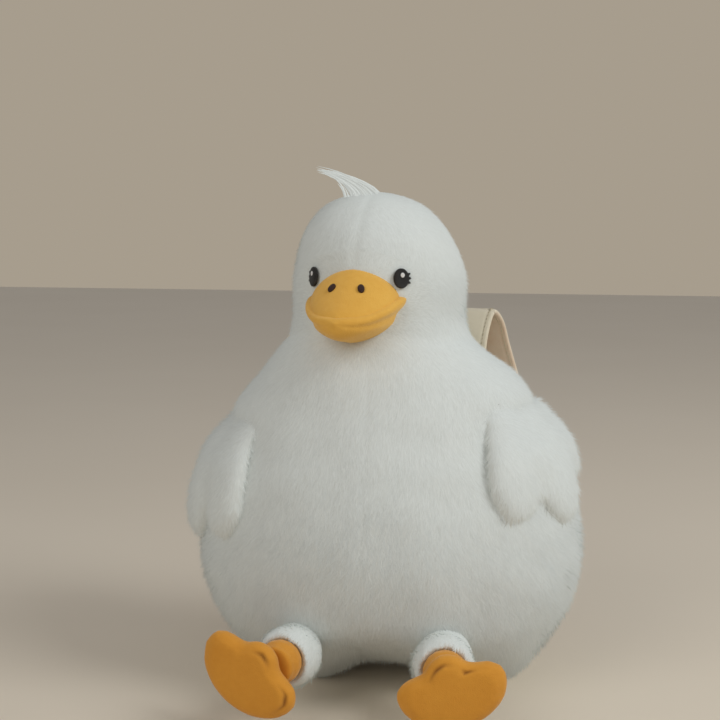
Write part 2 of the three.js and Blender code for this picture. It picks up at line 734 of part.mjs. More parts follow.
// Hinge of the wing: a level line on the body's skin, at the top of the wing.
function wingHinge(name) {
  const height = BODY_HEIGHT - WING_HINGE_DROP[name];
  const at = bodyPoint(height, WING_BEARING * DEGREE, -GAP);
  const out = bodyNormal(height, WING_BEARING * DEGREE);
  const level = new THREE.Vector3(-out.y, out.x, 0).normalize();
  return { at, out, level };
}

function wing(name) {
  const { at, out, level } = wingHinge(name);
  const up = new THREE.Vector3().crossVectors(out, level).normalize();
  const reach = BODY_HALF_WIDTH;
  const above = new THREE.BoxGeometry(reach, reach * 2, reach);
  above.translate(0, 0, reach / 2);
  above.applyMatrix4(new THREE.Matrix4().makeBasis(out, level, up).setPosition(at));
  const lobes = WING_LOBES.map((lobe) => wingLobe(name, lobe));
  return cut(join(lobes), [BODY_CLEAR, solid(above)]);
}

function mirrored(form) {
  const geometry = geometryOf(form);
  geometry.scale(-1, 1, 1);
  return solid(geometry);
}

// Middle of the leg's round root, set off from the body's skin by its radius.
function legRoot(name) {
  const at = new THREE.Vector3(LEG_SIDE[name], -BODY_FRONT, LEG_ROOT_HEIGHT);
  for (let k = 0; k < LEG_SEAT_ROUNDS; k += 1) {
    at.y += bodyDistance(at) - LEG_ROOT_RADIUS - GAP;
  }
  return at;
}

function legAim(name) {
  const splay = LEG_SPLAY[name] * DEGREE;
  const sink = -Math.tan(LEG_DROP[name] * DEGREE);
  return new THREE.Vector3(Math.sin(splay), -Math.cos(splay), sink).normalize();
}

function anklePoint(name) {
  return legRoot(name).addScaledVector(legAim(name), LEG_LENGTH);
}

// Leg: ball end at the hip, tapering forwards, hollowed at its end for the ankle.
function leg(name) {
  const root = legRoot(name);
  const aim = legAim(name);
  const side = new THREE.Vector3().crossVectors(aim, new THREE.Vector3(0, 0, 1)).normalize();
  const up = new THREE.Vector3().crossVectors(side, aim).normalize();
  const rings = [];
  const ring = (forward, radius) => Array.from({ length: LEG_POINTS }, (_, c) => {
    const turn = (c / LEG_POINTS) * 2 * Math.PI;
    const point = root.clone().addScaledVector(aim, forward);
    point.addScaledVector(side, radius * Math.cos(turn));
    return point.addScaledVector(up, radius * Math.sin(turn));
  });
  for (let k = 1; k <= LEG_RINGS; k += 1) {
    const turn = (k / LEG_RINGS) * (Math.PI / 2);
    rings.push(ring(-LEG_ROOT_RADIUS * Math.cos(turn), LEG_ROOT_RADIUS * Math.sin(turn)));
  }
  rings.push(ring(LEG_LENGTH * LEG_WAIST, LEG_ROOT_RADIUS * LEG_WAIST_SWELL));
  rings.push(ring(LEG_LENGTH - ANKLE_CUT_BACK, LEG_END_RADIUS));
  const back = root.clone().addScaledVector(aim, -LEG_ROOT_RADIUS);
  return cut(solid(loft(rings, back)), [ball(anklePoint(name), ANKLE_BALL + GAP, true)]);
}

// Foot group: origin at the ankle's middle, sole towards -Y.
function ankle() {
  const profile = [];
  const start = Math.asin(ANKLE_NECK / ANKLE_BALL);
  for (let k = 0; k <= ANKLE_RINGS; k += 1) {
    const turn = Math.PI - (Math.PI - start) * (k / ANKLE_RINGS);
    profile.push(new THREE.Vector2(ANKLE_BALL * Math.sin(turn), ANKLE_BALL * Math.cos(turn)));
  }
  profile[0].x = 0;
  const end = Math.max(FOOT_STAND_OFF - GAP, profile[ANKLE_RINGS].y + GAP);
  profile.push(new THREE.Vector2(ANKLE_NECK, end));
  profile.push(new THREE.Vector2(0, end));
  const geometry = new THREE.LatheGeometry(profile, LEG_POINTS);
  geometry.rotateX(Math.PI);
  return solid(geometry);
}

function footReach() {
  const ballFront = Math.sqrt(ANKLE_BALL ** 2 - ANKLE_NECK ** 2) + 2 * GAP;
  return Math.max(FOOT_STAND_OFF, ballFront);
}

function foot(name, side) {
  const rings = FOOT_LAYERS.map(([deep, scale]) => Array.from({ length: FOOT_POINTS }, (_, c) => {
    const bearing = (c / FOOT_POINTS) * 360 - 180;
    const radius = along(FOOT_OUTLINE, Math.abs(bearing), 1) * scale;
    const turn = bearing * DEGREE - side * FOOT_LEAN[name] * DEGREE;
    const y = -footReach() - FOOT_THICKNESS * deep;
    const x = side * FOOT_OUT[name] + radius * Math.sin(turn);
    return new THREE.Vector3(x, y, -FOOT_DROP[name] + radius * Math.cos(turn));
  }));
  return solid(loft(rings));
}

// Flat band through a list of places, its width kept as near to X as the route allows.
function band(places, halfWidth, halfThickness, steps, lie = new THREE.Vector3(1, 0, 0)) {
  const route = new THREE.CatmullRomCurve3(places, false, 'centripetal');
  const edge = halfThickness * STRAP_CHAMFER;
  const section = [
    [halfWidth - edge, -halfThickness], [halfWidth, -halfThickness + edge],
    [halfWidth, halfThickness - edge], [halfWidth - edge, halfThickness],
    [-halfWidth + edge, halfThickness], [-halfWidth, halfThickness - edge],
    [-halfWidth, -halfThickness + edge], [-halfWidth + edge, -halfThickness],
  ];
  const rings = [];
  for (let k = 0; k <= steps; k += 1) {
    const at = route.getPointAt(k / steps);
    const ahead = route.getTangentAt(k / steps);
    const wide = lie.clone().addScaledVector(ahead, -lie.dot(ahead)).normalize();
    const thick = new THREE.Vector3().crossVectors(ahead, wide);
    rings.push(section.map(([w, n]) => at.clone().addScaledVector(wide, w).addScaledVector(thick, n)));
  }
  return solid(loft(rings));
}

function strapRoot(side) {
  return new THREE.Vector3(side * STRAP_ROOT[0], STRAP_ROOT[1], BODY_HEIGHT + STRAP_ROOT[2]);
}

// Middle of the rounded end of the lower tab, held off the body's lower back corner.
function tabPoint(side) {
  const bearing = TAB_BEARING * DEGREE;
  const at = bodyPoint(TAB_HEIGHT, bearing).addScaledVector(bodyNormal(TAB_HEIGHT, bearing), TAB_REACH);
  return new THREE.Vector3(side * at.x, at.y, at.z);
}

function strapPlaces(name, side) {
  const { fromTab, fromRoot } = STRAP_ROUTES[name];
  const place = (base) => ([x, y, z]) => base.clone().add(new THREE.Vector3(side * x, y, z));
  return [...fromTab.map(place(tabPoint(side))), ...fromRoot.map(place(strapRoot(side)))];
}

// Frame of the straight webbing: along it, across it and through its thickness.
function webbingFrame(name, side) {
  const start = tabPoint(side);
  const end = strapPlaces(name, side)[0];
  const ahead = end.clone().sub(start).normalize();
  const lie = new THREE.Vector3(1, 0, 0);
  const wide = lie.addScaledVector(ahead, -lie.dot(ahead)).normalize();
  const thick = new THREE.Vector3().crossVectors(wide, ahead);
  return { start, end, ahead, basis: new THREE.Matrix4().makeBasis(wide, ahead, thick) };
}

function strapBand(name, side) {
  const { end, ahead } = webbingFrame(name, side);
  const places = strapPlaces(name, side);
  places.splice(1, 0, end.clone().addScaledVector(ahead, STRAP_HALF_WIDTH / 2));
  places.push(strapRoot(side));
  places.push(strapRoot(side).add(new THREE.Vector3(0, 0, -ROOT_TAIL)));
  return band(places, STRAP_HALF_WIDTH, STRAP_HALF_THICKNESS, STRAP_STEPS);
}

function strap(name, side) {
  return cut(strapBand(name, side), [ball(strapRoot(side), ROOT_BALL, true), STRAP_CLEAR]);
}

function strapEnd(name, side) {
  const held = strapBand(name, side).intersect(ball(strapRoot(side), ROOT_BALL - GAP));
  return cut(held, [BODY_CLEAR]);
}

function webbing(name, side) {
  const { start, end, ahead } = webbingFrame(name, side);
  const stop = end.clone().addScaledVector(ahead, -GAP);
  const form = band([start, stop], WEBBING_HALF_WIDTH, WEBBING_HALF_THICKNESS, WEBBING_RINGS);
  return cut(form, [ball(start, TAB_BALL, true)]);
}

// Sewn tab at the lower corner: a short doubled strip with a round end.
function strapTab(name, side) {
  const { start, ahead } = webbingFrame(name, side);
  const inward = start.clone();
  inward.z = 0;
  const sink = start.clone().addScaledVector(inward.normalize(), -TAB_BALL);
  const tip = start.clone().addScaledVector(ahead, TAB_BALL);
  const form = band([sink, start, tip], TAB_HALF_WIDTH, TAB_HALF_THICKNESS, TAB_RINGS);
  return cut(form.intersect(ball(start, TAB_BALL - GAP)), [BODY_CLEAR]);
}

// Frame of side rails and two low bars, with a raised middle bar over the webbing.
function adjuster() {
  const form = [];
  const inner = ADJUSTER_HALF_WIDTH - ADJUSTER_RAIL;
  for (const [, side] of SIDES) {
    const rail = [side * inner, side * ADJUSTER_HALF_WIDTH].sort((a, b) => a - b);
    form.push(box(
      [rail[0], -ADJUSTER_HALF_LENGTH, -ADJUSTER_HALF_DEPTH],
      [rail[1], ADJUSTER_HALF_LENGTH, ADJUSTER_HALF_DEPTH],
    ));
    const bar = [side * ADJUSTER_HALF_LENGTH, side * (ADJUSTER_HALF_LENGTH - ADJUSTER_BAR)];
    bar.sort((a, b) => a - b);
    form.push(box(
      [-inner - GAP, bar[0], -ADJUSTER_HALF_DEPTH],
      [inner + GAP, bar[1], -ADJUSTER_HALF_DEPTH + ADJUSTER_BAR_DEPTH],
    ));
  }
  form.push(box(
    [-inner - GAP, -ADJUSTER_BAR / 2, ADJUSTER_HALF_DEPTH - ADJUSTER_BAR_DEPTH],
    [inner + GAP, ADJUSTER_BAR / 2, ADJUSTER_HALF_DEPTH],
  ));
  return join(form);
}

// Bound seam that carries the loop, set against the body behind the neck.
function loopSeamPoint() {
  const at = bodyPoint(BODY_HEIGHT - LOOP_SEAM_DROP, Math.PI);
  at.x = 0;
  at.y += LOOP_SEAM_RADIUS * (1 - LOOP_SEAM_SINK);
  return at;
}

function loopSeamRoll(radius, halfLength) {
  const geometry = new THREE.CylinderGeometry(radius, radius, 2 * halfLength, LOOP_SEAM_POINTS);
  geometry.rotateZ(Math.PI / 2);
  geometry.translate(...loopSeamPoint().toArray());
  return solid(geometry);
}

function carryLoop() {
  const base = loopSeamPoint();
  const low = base.z + LOOP_SEAM_RADIUS + GAP;
  const y = base.y + LOOP_HALF_WIDTH;
  const places = [];
  places.push(new THREE.Vector3(-LOOP_HALF_SPAN, y, low));
  for (let k = 0; k <= LOOP_BEND_POINTS; k += 1) {
    const turn = Math.PI * (1 - k / LOOP_BEND_POINTS);
    const x = LOOP_HALF_SPAN * Math.cos(turn);
    const z = base.z + LOOP_RISE - LOOP_HALF_SPAN + LOOP_HALF_SPAN * Math.sin(turn);
    places.push(new THREE.Vector3(x, y, z));
  }
  places.push(new THREE.Vector3(LOOP_HALF_SPAN, y, low));
  const lie = new THREE.Vector3(0, 1, 0);
  return band(places, LOOP_HALF_WIDTH, LOOP_HALF_THICKNESS, LOOP_STEPS, lie);
}

// Zip parts, in the zip's own frame: X across, Y outwards from the tape, Z up from the slot's lower end.
const ZIP_LENGTH = SLOT_HIGH - SLOT_LOW;
const CHAIN_ROOM = ZIP_LENGTH - CHAIN_FOOT - SLIDER_ABOVE - STOP_HEIGHT - SLOT_CORNER;
const TOOTH_COUNT = Math.floor(CHAIN_ROOM / TOOTH_PITCH);
const CHAIN_LENGTH = TOOTH_PITCH * TOOTH_COUNT;
const CHAIN_TOP = CHAIN_FOOT + CHAIN_LENGTH;
const SLIDER_HEIGHT = CHAIN_TOP + GAP;

function zipTape(side) {
  const inner = SPINE_OUTER + GAP;
  const edges = [side * inner, side * (inner + TAPE_WIDTH)].sort((a, b) => a - b);
  return box([edges[0], -TAPE_THICKNESS / 2, 0], [edges[1], TAPE_THICKNESS / 2, ZIP_LENGTH]);
}

// Comb of headed teeth on a spine; the other side's teeth stand half a pitch higher.
function zipTeeth(side) {
  const shape = new THREE.Shape();
  const shift = TOOTH_PITCH * (side > 0 ? TOOTH_START : 1 - TOOTH_START);
  const head = TOOTH_PITCH * TOOTH_HEAD;
  const neck = TOOTH_PITCH * TOOTH_NECK;
  const shoulder = TOOTH_SHOULDER;
  shape.moveTo(side * SPINE_OUTER, CHAIN_FOOT);
  shape.lineTo(side * SPINE_INNER, CHAIN_FOOT);
  for (let k = 0; k < TOOTH_COUNT; k += 1) {
    const z = CHAIN_FOOT + shift + k * TOOTH_PITCH;
    shape.lineTo(side * SPINE_INNER, z - neck);
    shape.lineTo(side * shoulder, z - neck);
    shape.lineTo(-side * shoulder, z - head);
    shape.lineTo(-side * TOOTH_TIP, z - neck);
    shape.lineTo(-side * TOOTH_TIP, z + neck);
    shape.lineTo(-side * shoulder, z + head);
    shape.lineTo(side * shoulder, z + neck);
    shape.lineTo(side * SPINE_INNER, z + neck);
  }
  shape.lineTo(side * SPINE_INNER, CHAIN_TOP);
  shape.lineTo(side * SPINE_OUTER, CHAIN_TOP);
  return solid(upright(shape, TOOTH_DEPTH / 2, TOOTH_DEPTH));
}

// Slider: two plates joined by a wedge, walls that leave room for the tape, and a bail in front.
function zipSlider() {
  const inside = Math.max(SLIDER_INSIDE, TOOTH_DEPTH / 2 + GAP);
  const outside = inside + SLIDER_PLATE;
  const slit = TAPE_THICKNESS / 2 + GAP;
  const wall = Math.max(SLIDER_HALF_WIDTH - SLIDER_WALL, SPINE_OUTER + GAP);
  const half = Math.max(SLIDER_HALF_WIDTH, wall + SLIDER_WALL);
  const form = [];
  for (const [, face] of SIDES) {
    const plate = roundedOutline(half, -SLIDER_BELOW, SLIDER_ABOVE, SLIDER_WALL);
    form.push(solid(upright(plate, face > 0 ? outside : -inside, SLIDER_PLATE)));
    for (const [, side] of SIDES) {
      const x = [side * wall, side * half].sort((a, b) => a - b);
      const y = [face * slit, face * (inside + GAP)].sort((a, b) => a - b);
      form.push(box([x[0], y[0], -SLIDER_BELOW + SLIDER_WALL], [x[1], y[1], 0]));
    }
  }
  const wedge = new THREE.Shape();
  wedge.moveTo(0, GAP);
  wedge.lineTo(WEDGE_HALF_WIDTH, SLIDER_ABOVE - GAP);
  wedge.lineTo(-WEDGE_HALF_WIDTH, SLIDER_ABOVE - GAP);
  form.push(solid(upright(wedge, inside + GAP, 2 * (inside + GAP))));
  const bail = new THREE.Shape();
  bail.absarc(0, 0, BAIL_OUTER, 0, Math.PI, false);
  bail.lineTo(-BAIL_OUTER, -GAP);
  bail.lineTo(-BAIL_INNER, -GAP);
  bail.absarc(0, 0, BAIL_INNER, Math.PI, 0, true);
  bail.lineTo(BAIL_INNER, -GAP);
  bail.lineTo(BAIL_OUTER, -GAP);
  const options = { depth: 2 * BAIL_HALF_WIDTH, bevelEnabled: false, curveSegments: BAIL_POINTS };
  const arch = new THREE.ExtrudeGeometry(bail, options);
  arch.translate(0, 0, -BAIL_HALF_WIDTH);
  arch.applyMatrix4(new THREE.Matrix4().makeBasis(
    new THREE.Vector3(0, 0, 1), new THREE.Vector3(0, 1, 0), new THREE.Vector3(-1, 0, 0)));
  arch.translate(0, outside, 0);
  form.push(solid(arch));
  return join(form);
}

function pullPivot() {
  return Math.max(SLIDER_INSIDE, TOOTH_DEPTH / 2 + GAP) + SLIDER_PLATE + PULL_PIVOT_RISE;
}

// Pull: a flat tab hung from a round bar under the bail, with a hole that the bail passes through.
function zipPull() {
  const shape = new THREE.Shape();
  const wide = PULL_HOLE_HALF_WIDTH + PULL_EDGE;
  shape.moveTo(-wide, 0);
  shape.lineTo(-wide, -PULL_SHOULDER);
  shape.lineTo(-PULL_HALF_WIDTH, -PULL_LENGTH + PULL_HALF_WIDTH);
  shape.absarc(0, -PULL_LENGTH + PULL_HALF_WIDTH, PULL_HALF_WIDTH, Math.PI, 2 * Math.PI, false);
  shape.lineTo(wide, -PULL_SHOULDER);
  shape.lineTo(wide, 0);
  const hole = new THREE.Path();
  hole.moveTo(-PULL_HOLE_HALF_WIDTH, -GAP);
  hole.lineTo(PULL_HOLE_HALF_WIDTH, -GAP);
  hole.lineTo(PULL_HOLE_HALF_WIDTH, -PULL_HOLE_END);
  hole.lineTo(-PULL_HOLE_HALF_WIDTH, -PULL_HOLE_END);
  shape.holes.push(hole);
  const tab = solid(upright(shape, PULL_HALF_THICKNESS, 2 * PULL_HALF_THICKNESS));
  const bar = new THREE.CylinderGeometry(PULL_BAR_RADIUS, PULL_BAR_RADIUS, 2 * wide, PULL_BAR_POINTS);
  bar.rotateZ(Math.PI / 2);
  return join([tab, solid(bar)]);
}

// Clip folded round the edge of one tape, above the slider.
function topStop(side) {
  const reach = TAPE_THICKNESS / 2 + GAP;
  const deep = reach + STOP_WALL;
  const inner = SPINE_OUTER + GAP - STOP_WALL - GAP;
  const x = [side * inner, side * (SPINE_OUTER + STOP_REACH)].sort((a, b) => a - b);
  const slit = [side * (SPINE_OUTER), side * (SPINE_OUTER + STOP_REACH + GAP)].sort((a, b) => a - b);
  const body = box([x[0], -deep, 0], [x[1], deep, STOP_HEIGHT]);
  return cut(body, [box([slit[0], -reach, -GAP], [slit[1], reach, STOP_HEIGHT + GAP])]);
}

// Block that joins both tapes under the last tooth.
function bottomStop() {
  const reach = TAPE_THICKNESS / 2 + GAP;
  const deep = reach + STOP_WALL;
  const half = SPINE_OUTER + STOP_REACH;
  const slits = SIDES.map(([, side]) => {
    const x = [side * SPINE_OUTER, side * (half + GAP)].sort((a, b) => a - b);
    return box([x[0], -reach, -GAP], [x[1], reach, BOTTOM_STOP_HEIGHT + GAP]);
  });
  return cut(box([-half, -deep, 0], [half, deep, BOTTOM_STOP_HEIGHT]), slits);
}

const group = new THREE.Group();
const pivots = {};

group.add(piece('body_cover', bodyCover(), WHITE_PLUSH));
group.add(piece('seat_panel', seatPlate(0, 0, COVER_THICKNESS), WHITE_PLUSH));
group.add(piece('back_panel', backPanel(), BACK_PLUSH));
group.add(piece('body_wadding', bodyWadding(), WADDING));
group.add(piece('lining_pouch', liningPouch(), LINING));

const head = new THREE.Group();
head.rotation.z = HEAD_TURN * DEGREE;
head.position.x = NECK_SHIFT;
head.add(piece('head_cover', headCover(), WHITE_PLUSH));
head.add(piece('beak_upper', beakUpper(), ORANGE_PLUSH));
head.add(piece('beak_lower', beakLower(), ORANGE_PLUSH));
head.add(piece('hair_tuft', hairTuft(), WHITE_PLUSH));
for (const [name, side] of SIDES) {
  head.add(piece(`nostril_${name}`, nostril(side), BROWN_THREAD));
  head.add(piece(`eye_${name}`, eyeForm(side, 0), DARK_THREAD));
  head.add(piece(`eye_glint_${name}`, eyeGlint(side), WHITE_THREAD));
}
group.add(head);
group.add(piece('head_filling', headFilling(), WADDING));

for (const [name, side] of SIDES) {
  group.add(piece(`wing_${name}`, side > 0 ? wing(name) : mirrored(wing(name)), WHITE_PLUSH));
  group.add(piece(`leg_${name}`, side > 0 ? leg(name) : mirrored(leg(name)), WHITE_PLUSH));
  const footGroup = new THREE.Group();
  const hip = legRoot(name);
  const joint = anklePoint(name);
  footGroup.position.set(side * joint.x, joint.y, joint.z);
  footGroup.rotation.z = side * FOOT_TURN[name] * DEGREE;
  footGroup.add(piece(`ankle_${name}`, ankle(), ORANGE_PLUSH));
  footGroup.add(piece(`foot_${name}`, foot(name, side), ORANGE_PLUSH));
  group.add(footGroup);
  const { at, level } = wingHinge(name);
  pivots[`wing_${name}`] = [[side * at.x, at.y, at.z], [side * level.x, level.y, level.z]];
  pivots[`leg_${name}`] = [side * hip.x, hip.y, hip.z];
  const across = new THREE.Vector3(-1, 0, 0).applyEuler(footGroup.rotation);
  pivots[`foot_${name}`] = [footGroup.position.toArray(), across.toArray()];
}

for (const [name, side] of SIDES) {
  group.add(piece(`strap_${name}`, strap(name, side), STRAP_CLOTH));
  group.add(piece(`strap_end_${name}`, strapEnd(name, side), STRAP_CLOTH));
  group.add(piece(`strap_tab_${name}`, strapTab(name, side), STRAP_CLOTH));
  group.add(piece(`webbing_${name}`, webbing(name, side), WEBBING_CLOTH));
  const slide = new THREE.Group();
  const { start, end, basis } = webbingFrame(name, side);
  const free = start.clone().lerp(end, ADJUSTER_AT[name]);
  slide.quaternion.setFromRotationMatrix(basis);
  slide.position.copy(free);
  slide.add(piece(`adjuster_${name}`, adjuster(), BUCKLE_PLASTIC));
  group.add(slide);
  pivots[`strap_${name}`] = [strapRoot(side).toArray(), start.toArray()];
  pivots[`adjuster_${name}`] = [free.toArray(), end.clone().sub(start).toArray()];
}

const loopSeam = cut(loopSeamRoll(LOOP_SEAM_RADIUS, LOOP_SEAM_HALF_LENGTH), [BODY_CLEAR]);
group.add(piece('loop_seam', loopSeam, STRAP_CLOTH));
group.add(piece('carry_loop', carryLoop(), WEBBING_CLOTH));
pivots.carry_loop = loopSeamPoint().toArray();

const zip = new THREE.Group();
zip.position.set(0, BODY_BACK - COVER_THICKNESS - GAP - TAPE_THICKNESS / 2, SLOT_LOW);
for (const [name, side] of SIDES) {
  zip.add(piece(`zip_tape_${name}`, zipTape(side), WEBBING_CLOTH));
  zip.add(piece(`zip_teeth_${name}`, zipTeeth(side), ZIP_PLASTIC));
  const stop = piece(`zip_top_stop_${name}`, topStop(side), ZIP_METAL);
  stop.position.z = SLIDER_HEIGHT + SLIDER_ABOVE + GAP;
  zip.add(stop);
}
const lowStop = piece('zip_bottom_stop', bottomStop(), ZIP_METAL);
lowStop.position.z = CHAIN_FOOT - GAP - BOTTOM_STOP_HEIGHT;
zip.add(lowStop);
const sliderGroup = new THREE.Group();
sliderGroup.position.z = SLIDER_HEIGHT;
sliderGroup.add(piece('zip_slider', zipSlider(), ZIP_METAL));
const pull = piece('zip_pull', zipPull(), ZIP_METAL);
pull.position.y = pullPivot();
sliderGroup.add(pull);
zip.add(sliderGroup);
group.add(zip);
pivots.zip_pull = [0, zip.position.y + pullPivot(), zip.position.z + SLIDER_HEIGHT];

// Hinge and slide places, for anyone who rigs the assembly.
group.userData.pivots = pivots;

export default group;
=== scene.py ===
import bpy
import math
import numpy as np
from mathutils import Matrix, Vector


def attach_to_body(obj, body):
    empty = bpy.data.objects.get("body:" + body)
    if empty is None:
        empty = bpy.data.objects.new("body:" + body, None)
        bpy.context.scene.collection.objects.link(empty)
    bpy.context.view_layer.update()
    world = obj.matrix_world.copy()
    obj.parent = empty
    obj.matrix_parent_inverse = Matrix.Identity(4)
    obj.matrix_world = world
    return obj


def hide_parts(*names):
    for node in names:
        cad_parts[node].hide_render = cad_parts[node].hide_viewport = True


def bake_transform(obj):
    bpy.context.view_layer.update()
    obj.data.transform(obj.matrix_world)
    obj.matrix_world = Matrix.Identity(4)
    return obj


# Plush goose backpack. Sizes are in millimetres of the sewing pattern and become metres in each mesh.
# The goose faces -Y, +X is its own left side and the table is at z = 0. A pair of places under one name
# is the span over which something sets in or fades.

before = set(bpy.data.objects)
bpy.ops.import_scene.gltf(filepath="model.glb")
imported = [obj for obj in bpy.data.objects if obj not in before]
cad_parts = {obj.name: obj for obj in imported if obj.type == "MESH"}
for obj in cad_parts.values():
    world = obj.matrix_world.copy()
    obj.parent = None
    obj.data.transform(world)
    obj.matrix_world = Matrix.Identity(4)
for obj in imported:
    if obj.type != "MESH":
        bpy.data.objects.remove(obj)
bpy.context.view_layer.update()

MM = 0.001
DEG = math.pi / 180
CIRCLE = 2 * math.pi
UP, ACROSS, ALONG = np.array([0.0, 0.0, 1.0]), (1, 0, 0), (0, 1, 0)
SIDES = (("left", 1), ("right", -1))

# Body and head, by height fraction: half width, front and back as shares of the full sizes.
NECK_Z, BODY_HALF, BODY_FRONT, BODY_BACK = 252.0, 136.0, 111.0, 85.0
BODY_STATIONS = np.array([
    [0.00, 0.63, 0.33, 0.74], [0.04, 0.715, 0.47, 0.93], [0.09, 0.795, 0.62, 1.08],
    [0.16, 0.88, 0.79, 1.20], [0.24, 0.953, 0.915, 1.28], [0.34, 1.00, 0.985, 1.30],
    [0.44, 1.00, 1.00, 1.30], [0.54, 0.97, 0.975, 1.29], [0.64, 0.90, 0.915, 1.24],
    [0.735, 0.795, 0.825, 1.15], [0.815, 0.705, 0.74, 1.01], [0.89, 0.61, 0.66, 0.87],
    [0.95, 0.525, 0.595, 0.77], [1.00, 0.455, 0.558, 0.72]])
HEAD_HEIGHT, HEAD_RADIUS, HEAD_TURN, NECK_SHIFT, CROWN_LEAN = 96.0, 62.5, -8 * DEG, -7.0, -5.0
DOME_FROM, DOME_POWER = 0.28, 2.15
CROWN_Z = NECK_Z + HEAD_HEIGHT
SEAT_Z = 0.6

# Back panel outline and the ends of the slot that the zip closes.
PANEL_HALF, PANEL_LOW, PANEL_HIGH, PANEL_CORNER = 52.0, 32.0, 196.0, 36.0
SLOT_LOW, SLOT_HIGH = 48.0, 182.0

# Pile of the white plush: lengths, tuft width and tufts in a square millimetre. The lean says how far
# a tuft lies along the skin, the stray how far it leaves its neighbours.
PILE_BODY, PILE_HEAD, PILE_WING, PILE_LEG, PILE_BACK = 8.0, 6.0, 8.0, 6.0, 3.2
TUFT_WIDTH, TUFT_DENSITY, TUFT_LEAN, TUFT_STRAY = 0.8, 1.2, 0.56, 0.3
PER_SQUARE_METRE = 1e6


class Wire:
    """One node socket. Arithmetic on it adds Math nodes to its tree."""

    def __init__(self, net, socket):
        self.net, self.socket = net, socket

    def _math(self, operation, a, b=0.0):
        return self.net.node("ShaderNodeMath", {"operation": operation}, {0: a, 1: b})

    def __add__(self, other):
        return self._math("ADD", self, other)

    def __sub__(self, other):
        return self._math("SUBTRACT", self, other)

    def __rsub__(self, other):
        return self._math("SUBTRACT", other, self)

    def __mul__(self, other):
        return self._math("MULTIPLY", self, other)

    def __truediv__(self, other):
        return self._math("DIVIDE", self, other)

    def __pow__(self, other):
        return self._math("POWER", self, other)

    def __mod__(self, other):
        return self._math("FLOORED_MODULO", self, other)

    def __gt__(self, other):
        return self._math("GREATER_THAN", self, other)

    __radd__ = __add__
    __rmul__ = __mul__

    def floor(self):
        return self._math("FLOOR", self)

    def sin(self):
        return self._math("SINE", self)

    def at_least(self, other):
        return self._math("MAXIMUM", self, other)


class Net:
    """A node tree under construction."""

    def __init__(self, tree):
        self.tree = tree

    def feed(self, socket, value):
        if isinstance(value, Wire):
            self.tree.links.new(value.socket, socket)
        else:
            socket.default_value = value

    def node(self, kind, settings=None, inputs=None, out=0):
        made = self.tree.nodes.new(kind)
        for key, value in (settings or {}).items():
            setattr(made, key, value)
        for key, value in (inputs or {}).items():
            self.feed(made.inputs[key], value)
        return Wire(self, made.outputs[out])

    def tint(self, factor, a, b):
        return self.node("ShaderNodeMix", {"data_type": "RGBA"}, {0: factor, 6: a, 7: b}, 2)

    def vector(self, operation, a, b=(0, 0, 0), out=0, scale=None):
        inputs = {0: a, 1: b} if scale is None else {0: a, 3: scale}
        return self.node("ShaderNodeVectorMath", {"operation": operation}, inputs, out)

    def axes(self, at):
        return [self.node("ShaderNodeSeparateXYZ", None, {0: at}, k) for k in range(3)]

    def join(self, *values):
        return self.node("ShaderNodeCombineXYZ", None, dict(enumerate(values)))


class Finish(Net):
    """A procedural material on a Principled shader."""

    def __init__(self, name):
        self.material = bpy.data.materials.new(name)
        self.material.use_nodes = True
        super().__init__(self.material.node_tree)
        self.shader = self.tree.nodes["Principled BSDF"]

    def place(self):
        return self.node("ShaderNodeTexCoord", out="Object")

    def value(self, attribute):
        return self.node("ShaderNodeAttribute", {"attribute_name": attribute}, out="Fac")

    def run(self):
        """The piece's own run, across and along."""
        return self.axes(self.node("ShaderNodeUVMap", {"uv_map": "run"}))[:2]

    def noise(self, scale, detail, stretch=None):
        at = self.place()
        if stretch:
            at = self.node("ShaderNodeMapping", None, {"Vector": at, "Scale": stretch})
        return self.node("ShaderNodeTexNoise", None, {"Vector": at, "Scale": scale, "Detail": detail})

    def done(self, colour, rough, height=None, depth=0.0, strength=0.5, **fixed):
        """Feeds the shader. height is the relief, depth its size in metres."""
        self.feed(self.shader.inputs["Base Color"], colour)
        self.feed(self.shader.inputs["Roughness"], rough)
        if height is not None:
            relief = {"Strength": strength, "Distance": depth, "Height": height}
            self.feed(self.shader.inputs["Normal"], self.node("ShaderNodeBump", None, relief))
        for socket, value in fixed.items():
            self.feed(self.shader.inputs[socket.replace("_", " ")], value)
        return self.material


